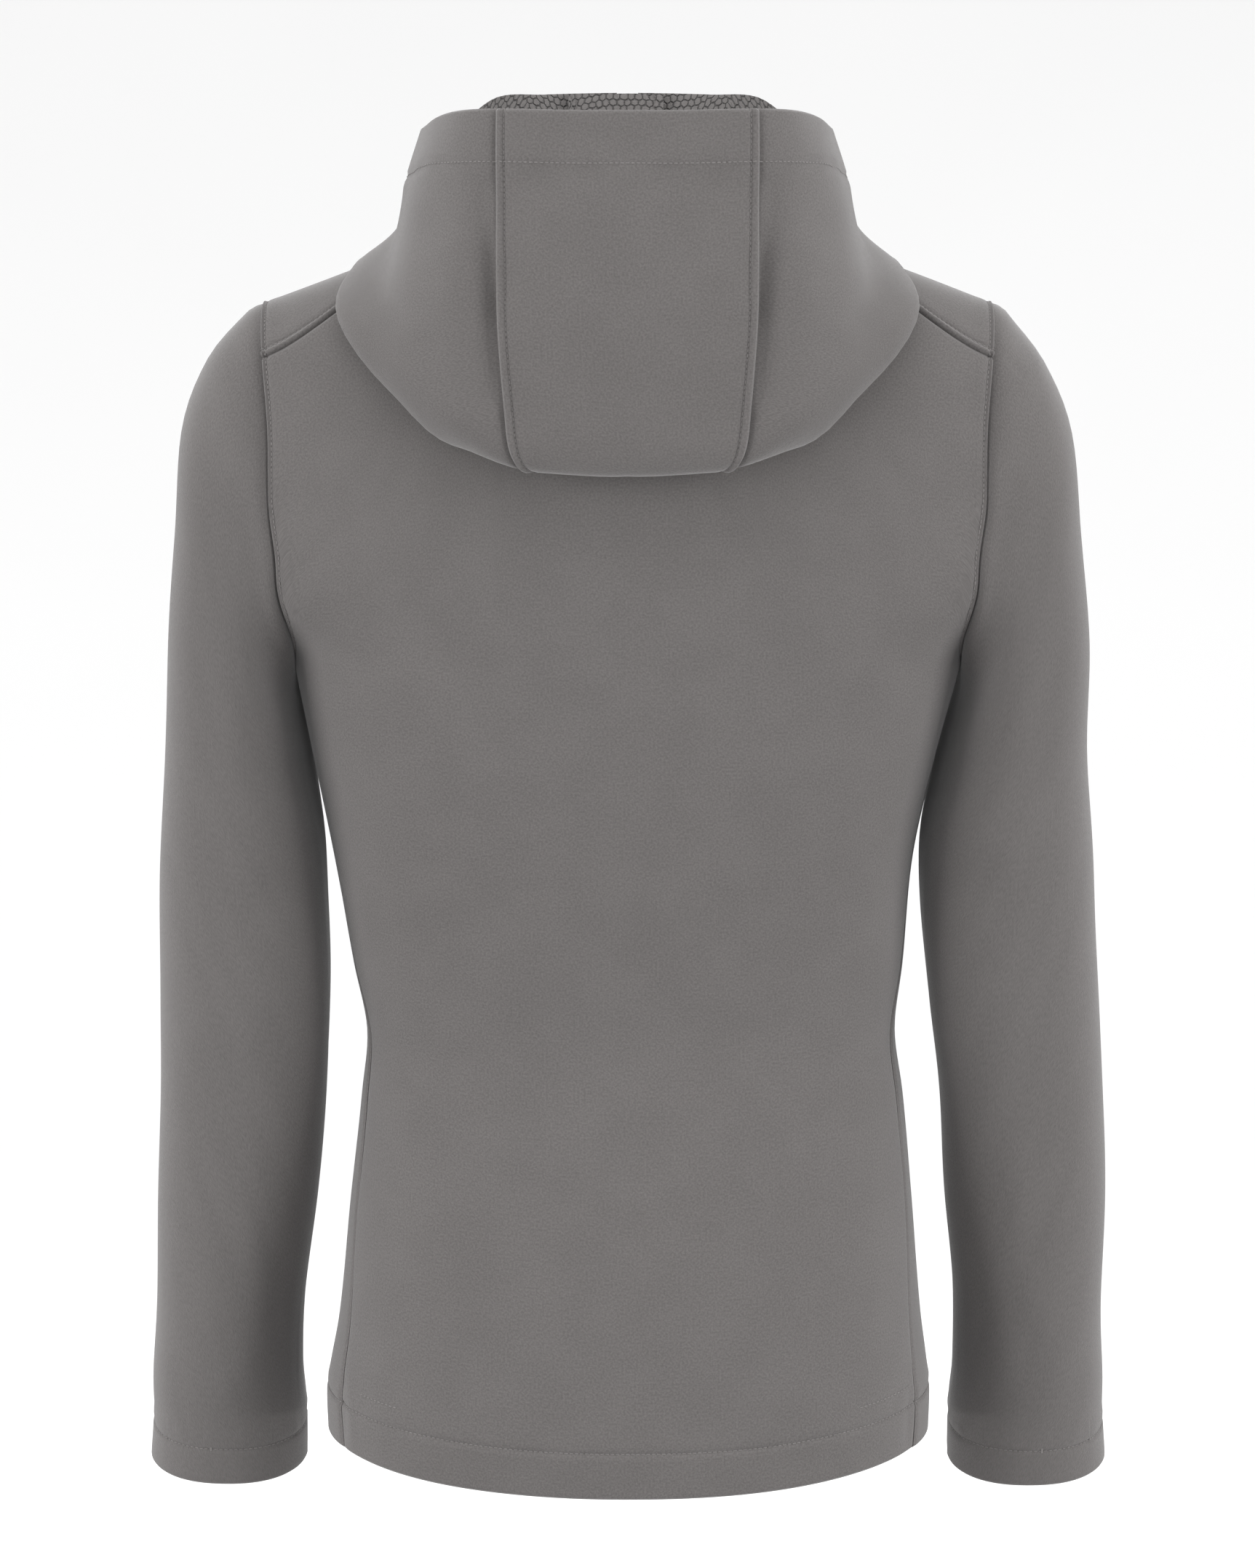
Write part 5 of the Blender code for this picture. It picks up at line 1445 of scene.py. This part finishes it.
def strip_points(lines, depth, top_trim):
    """Lines up the inside of the front and collar at distances from the zip, moved in by a depth."""
    levels = np.concatenate([LEVELS[:ARM_ROW], 1 + np.linspace(0, 1, STRIP_ARCH_ROWS)])
    rise = UNDER_STEPS + FOLD_STEPS + np.linspace(0, RISE_STEPS, STRIP_COLLAR_ROWS)
    steps = np.concatenate([[UNDER_STEPS], rise])
    columns = []
    for x in lines:
        side = 1 if x >= 0 else -1
        front = panel(panel_share(np.abs(x) / STRIP_HALF), levels, False, side)
        neck = front[-1]
        degrees = 0 * steps + np.degrees(np.arcsin(np.abs(x) / COLLAR_RADIUS))
        neck_r = np.hypot(neck[0], neck[1] - HOOD_AXIS_Y)
        profile = hood_profile(degrees, steps, neck_r + 0 * steps, neck[2] + 0 * steps)
        columns.append(np.concatenate([front, round_neck(degrees, profile, side)]))
    points = np.stack(columns, axis=1)
    points = settled(points, len(levels) - 1, NECK_SOFTEN, np.zeros(len(lines)))
    outward = out_of(points)
    outward = outward * -np.sign(outward[..., 1].mean())
    moved = points - depth * outward
    moved[0, :, 2] += HEM_CLEAR
    moved[-1] += top_trim * unit(moved[-2] - moved[-1])
    return moved, outward


def make_strip(name, node, lines, depth, thick, top_trim, materials):
    """A long strip of cloth behind the zip, as a thin wall."""
    outer, outward = strip_points(lines, depth, top_trim)
    inner = outer - thick * outward
    uv = np.stack([along_cloth(outer, 1), along_cloth(outer, 0)], -1)
    declare(shell(name, outer, inner, uv, materials), node)
    return inner, -outward


for word, sign in (("left", 1), ("right", -1)):
    tape_lines = sign * np.array(TAPE_LINES)
    make_strip("zip_tape_" + word + "_cloth", "zip_tape_" + word, np.sort(tape_lines), TAPE_DEPTH, TAPE_THICK,
               TAPE_TOP, [zip_tape, zip_tape])
flap_inner, flap_in = make_strip("storm_flap_cloth", "storm_flap", FLAP_LINES, FLAP_DEPTH, FLAP_THICK,
                                 FLAP_TOP, [softshell, fleece])

# %% Zip teeth
TOOTH_PITCH = 0.0013
TOOTH_HALF = np.array((0.00055, 0.00085, 0.00185))
TOOTH_ASIDE = 0.0013
TOOTH_DEPTH = TAPE_DEPTH - 0.0007
STOP_PLACE = 0.008
CHAIN_HALF = 0.0005
STOP_HALF = np.array((0.0055, 0.0013, 0.0034))


def make_teeth():
    """Moulded teeth in two rows that mesh: blocks at an even pitch, set in turn to either side."""
    line, outward = strip_points((-CHAIN_HALF, CHAIN_HALF), TOOTH_DEPTH, TAPE_TOP)
    places, ahead, facing = even_steps(line.mean(1), outward.mean(1), TOOTH_PITCH)
    aside = unit(np.cross(ahead, facing)) * TOOTH_ASIDE
    places = places + aside * np.where(np.arange(len(places)) % 2, 1, -1)[:, None]
    above_stop = places[:, 2] > line[0, 0, 2] + 2 * STOP_PLACE
    kept = (places[above_stop], ahead[above_stop], facing[above_stop])
    made = repeat_block("zip_teeth", *kept, TOOTH_HALF, tooth_plastic)
    stop_at = [np.argmin(np.abs(places[:, 2] - line[0, 0, 2] - STOP_PLACE))]
    middle = places[stop_at] * (0, 1, 1)
    stop = repeat_block("zip_bottom_stop", middle, ahead[stop_at], facing[stop_at], STOP_HALF, zip_metal)
    for piece in (made, stop):
        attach(piece, "jacket")
    print(int(above_stop.sum()), "teeth")


make_teeth()

# %% [markdown]
# ## Topstitching
# The seams are held down by rows of stitches about two and a half millimetres long. Each row lies at a
# distance from an edge, in the groove that the stitching pulls into the cloth.

# %% Rows of stitches
SURFACE_LIFT = 0.0001


def lifted(grid, outward):
    """A grid raised a little above the cloth, where the thread lies."""
    return grid + SURFACE_LIFT * outward


def row_at(grid, outward, distance, target):
    """A row of stitches at a distance from the grid's first row: its line and its directions out."""
    return line_at(lifted(grid, outward), distance, target), line_at(outward, distance, target)


def column_at(grid, outward, distance, target):
    """The same, at a distance from the grid's first column."""
    swap = (1, 0, 2)
    return row_at(grid.transpose(swap), outward.transpose(swap), distance.T, target)


def from_end(grid, outward, distance, axis):
    """A grid turned over, so that its last row or column comes first, with the distances from there."""
    return np.flip(grid, axis), np.flip(outward, axis), np.flip(to_end(distance, axis), axis)


STAY_ABOVE_HEM = 0.036
STAY_SPANS = ((122, 144), (-152, -124))
ARM_SKIPPED_ROWS = 4
arm_part = slice(ARM_ROW + ARM_SKIPPED_ROWS, None)
body_rows = [row_at(back_outer, back_out, back_hem, HEM_TURN)]
stay_line, stay_out = row_at(back_outer, back_out, back_hem, STAY_ABOVE_HEM)
stay_seen = seen_from_behind(stay_line)[:, 0]
for from_x, to_x in STAY_SPANS:
    within = (stay_seen > from_x) & (stay_seen < to_x)
    body_rows.append((stay_line[within], stay_out[within]))
arm_rows = []
for turn in (0, 1):
    grid, out, distance = back_outer[arm_part], back_out[arm_part], back_across[arm_part]
    if turn:
        grid, out, distance = from_end(grid, out, distance, 1)
    arm_rows.append(column_at(grid, out, distance, ARM_STITCH))
shoulder_rows = []
zip_rows = []
for side in (1, -1):
    grid, out, hem, across = front_made[side]
    body_rows.append(row_at(grid, out, hem, HEM_TURN))
    zip_rows.append(column_at(grid, out, across, ZIP_STITCH))
    arm_rows.append(column_at(*from_end(grid[arm_part], out[arm_part], across[arm_part], 1), ARM_STITCH))
    beyond_neck = fronts[side][0] > NECK_SHARE
    seam_part = (grid[:, beyond_neck], out[:, beyond_neck], hem[:, beyond_neck])
    shoulder_rows.append(row_at(*from_end(*seam_part, 0), SHOULDER_STITCH))
sew("topstitch_hem", body_rows)
sew("topstitch_armholes", arm_rows)
sew("topstitch_shoulders", shoulder_rows)

# %% Stitches of cuffs, hood, zip edges and flap
TACK_HALF = np.array((0.0019, 0.0005, 0.0006))
TACK_SEEN_AT = 222.5
OUT_OF_SIGHT = 1000
FLAP_SEAM_INSET = 0.0050
FLAP_EDGE_INSETS = (0.0014, 0.0040)
cuff_rows = []
tack_places = []
for side in (1, -1):
    grid, out, run = sleeve_made[side]
    line, facing = row_at(*from_end(grid, out, run, 0), CUFF_TURN)
    cuff_rows.append((np.concatenate([line, line[:1]]), np.concatenate([facing, facing[:1]])))
    seen = seen_from_behind(line)
    hidden = OUT_OF_SIGHT * (facing @ TOWARDS_VIEWER < 0)
    nearest = np.argmin(np.abs(seen[:, 0] - side * TACK_SEEN_AT) + hidden)
    tack_places.append((line[nearest], facing[nearest]))
sew("topstitch_cuffs", cuff_rows)

hood_rows = []
for side in (1, -1):
    grid, out, run, across = hood_side_made[side]
    hood_rows.append(row_at(*from_end(grid, out, run, 0), HOOD_HEM))
    standing = grid.shape[0] - int(RISING.sum())
    zip_rows.append(column_at(grid[standing:], out[standing:], across[standing:], ZIP_STITCH))
grid, out, run, across = hood_centre_made
hood_rows.append(row_at(*from_end(grid, out, run, 0), HOOD_HEM))
hood_rows.append(column_at(grid, out, across, HOOD_STITCH))
hood_rows.append(column_at(*from_end(grid, out, across, 1), HOOD_STITCH))
sew("topstitch_hood", hood_rows)
sew("topstitch_zip", zip_rows)

flap_across = along_cloth(flap_inner, 1)
flap_rows = [column_at(flap_inner, flap_in, flap_across, FLAP_SEAM_INSET)]
for inset in FLAP_EDGE_INSETS:
    flap_rows.append(column_at(*from_end(flap_inner, flap_in, flap_across, 1), inset))
sew("topstitch_flap", flap_rows)
tack_at = np.array([place for place, _ in tack_places])
tack_out = np.array([facing for _, facing in tack_places])
tack_up = unit(np.cross(tack_out, np.cross((0.0, 0.0, 1.0), tack_out)))
tacks = repeat_block("cuff_bar_tacks", tack_at, tack_up, tack_out, TACK_HALF, thread)
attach(tacks, "jacket")

# %% [markdown]
# ## Floor and light
# The photograph is lit by a soft light at each side, a broad one above and a weak one from the viewer. One
# more lights the front for the other views. The floor is a wide pale bowl far below, so that it shows as a
# plain background from every side. It throws no light back on the cloth, and the pale world is dimmer below
# than above, so the undersides of hood and sleeves stay in shade.

# %% Floor, lights and view settings
FLOOR_Z = -1.40
FLOOR_FLAT = 3.6
FLOOR_CURVE = 2.2
FLOOR_TOP = 2.4
FLOOR_MIDDLE = 0.001
FLOOR_BENDS, FLOOR_TURNS = 24, 97
FLOOR_CLOUD = 0.8
FLOOR_DARK, FLOOR_LIGHT = (0.90, 0.90, 0.90), (0.93, 0.93, 0.93)


def make_floor():
    """A bowl turned about the upright axis: flat in the middle, then a quarter round, then a wall."""
    bend = np.linspace(0, QUARTER_TURN, FLOOR_BENDS)
    curve = FLOOR_FLAT + FLOOR_CURVE * np.sin(bend)
    radius = np.concatenate([[FLOOR_MIDDLE, FLOOR_FLAT / 2], curve, [FLOOR_FLAT + FLOOR_CURVE]])
    height = np.concatenate([[0, 0], FLOOR_CURVE * (1 - np.cos(bend)), [FLOOR_CURVE + FLOOR_TOP]]) + FLOOR_Z
    turn = np.linspace(0, 2 * np.pi, FLOOR_TURNS)[:-1]
    radius, height = radius[:, None], height[:, None]
    points = np.stack([radius * np.cos(turn), radius * np.sin(turn), height + 0 * turn], -1)
    row, col = quads(len(radius), len(turn), True)
    faces = row * len(turn) + col % len(turn)
    pale, tree, shader = new_finish("pale_floor", 0.95)
    place = add_node(tree, "ShaderNodeTexCoord").outputs["Object"]
    clouds = grain(tree, place, FLOOR_CLOUD)
    tree.links.new(shade_between(tree, clouds, FLOOR_DARK, FLOOR_LIGHT), shader.inputs["Base Color"])
    uvs, kinds = np.zeros((len(faces), 4, 2)), np.zeros(len(faces))
    made = make_mesh("floor", points.reshape(-1, 3), faces, uvs, kinds, [pale])
    made.visible_diffuse = False


def add_light(name, place, aim, size, power):
    """A soft rectangular light at a place, turned to an aim."""
    light = bpy.data.objects.new(name, bpy.data.lights.new(name, "AREA"))
    light.data.shape = "RECTANGLE"
    light.data.size, light.data.size_y = size
    light.data.energy = power
    light.location = place
    light.rotation_euler = (Vector(aim) - Vector(place)).to_track_quat("-Z", "Y").to_euler()
    scene.collection.objects.link(light)


WORLD_LOW = 0.60
WORLD_HIGH = 1.10
# Each light: name, place, aim, size in metres and power in watts
LIGHT_ROWS = (
    ("left_softbox", (2.2, 1.1, -0.25), (0, 0, -0.35), (1.2, 2.0), 52),
    ("right_softbox", (-2.2, 1.1, -0.25), (0, 0, -0.35), (1.2, 2.0), 52),
    ("top_softbox", (0, 0.6, 2.2), (0, 0, -0.30), (2.4, 1.8), 34),
    ("viewer_fill", (0, 3.6, 0.8), (0, 0, -0.30), (2.4, 2.0), 5),
    ("front_fill", (0, -3.2, 0.9), (0, 0, -0.30), (2.4, 2.0), 30),
)
make_floor()
for light_row in LIGHT_ROWS:
    add_light(*light_row)
world = bpy.data.worlds.new("pale_room")
world.use_nodes = True
world.node_tree.nodes["Background"].inputs["Color"].default_value = (1.0, 1.0, 1.0, 1.0)
heading = add_node(world.node_tree, "ShaderNodeTexCoord").outputs["Generated"]
upward = add_node(world.node_tree, "ShaderNodeSeparateXYZ", {"Vector": heading}).outputs["Z"]
span = {"Value": upward, "From Min": -1.0, "From Max": 1.0, "To Min": WORLD_LOW, "To Max": WORLD_HIGH}
strength = add_node(world.node_tree, "ShaderNodeMapRange", span).outputs["Result"]
world.node_tree.links.new(strength, world.node_tree.nodes["Background"].inputs["Strength"])
scene.world = world
scene.view_settings.view_transform = "Standard"
print("floor,", len(LIGHT_ROWS), "lights and a pale world")
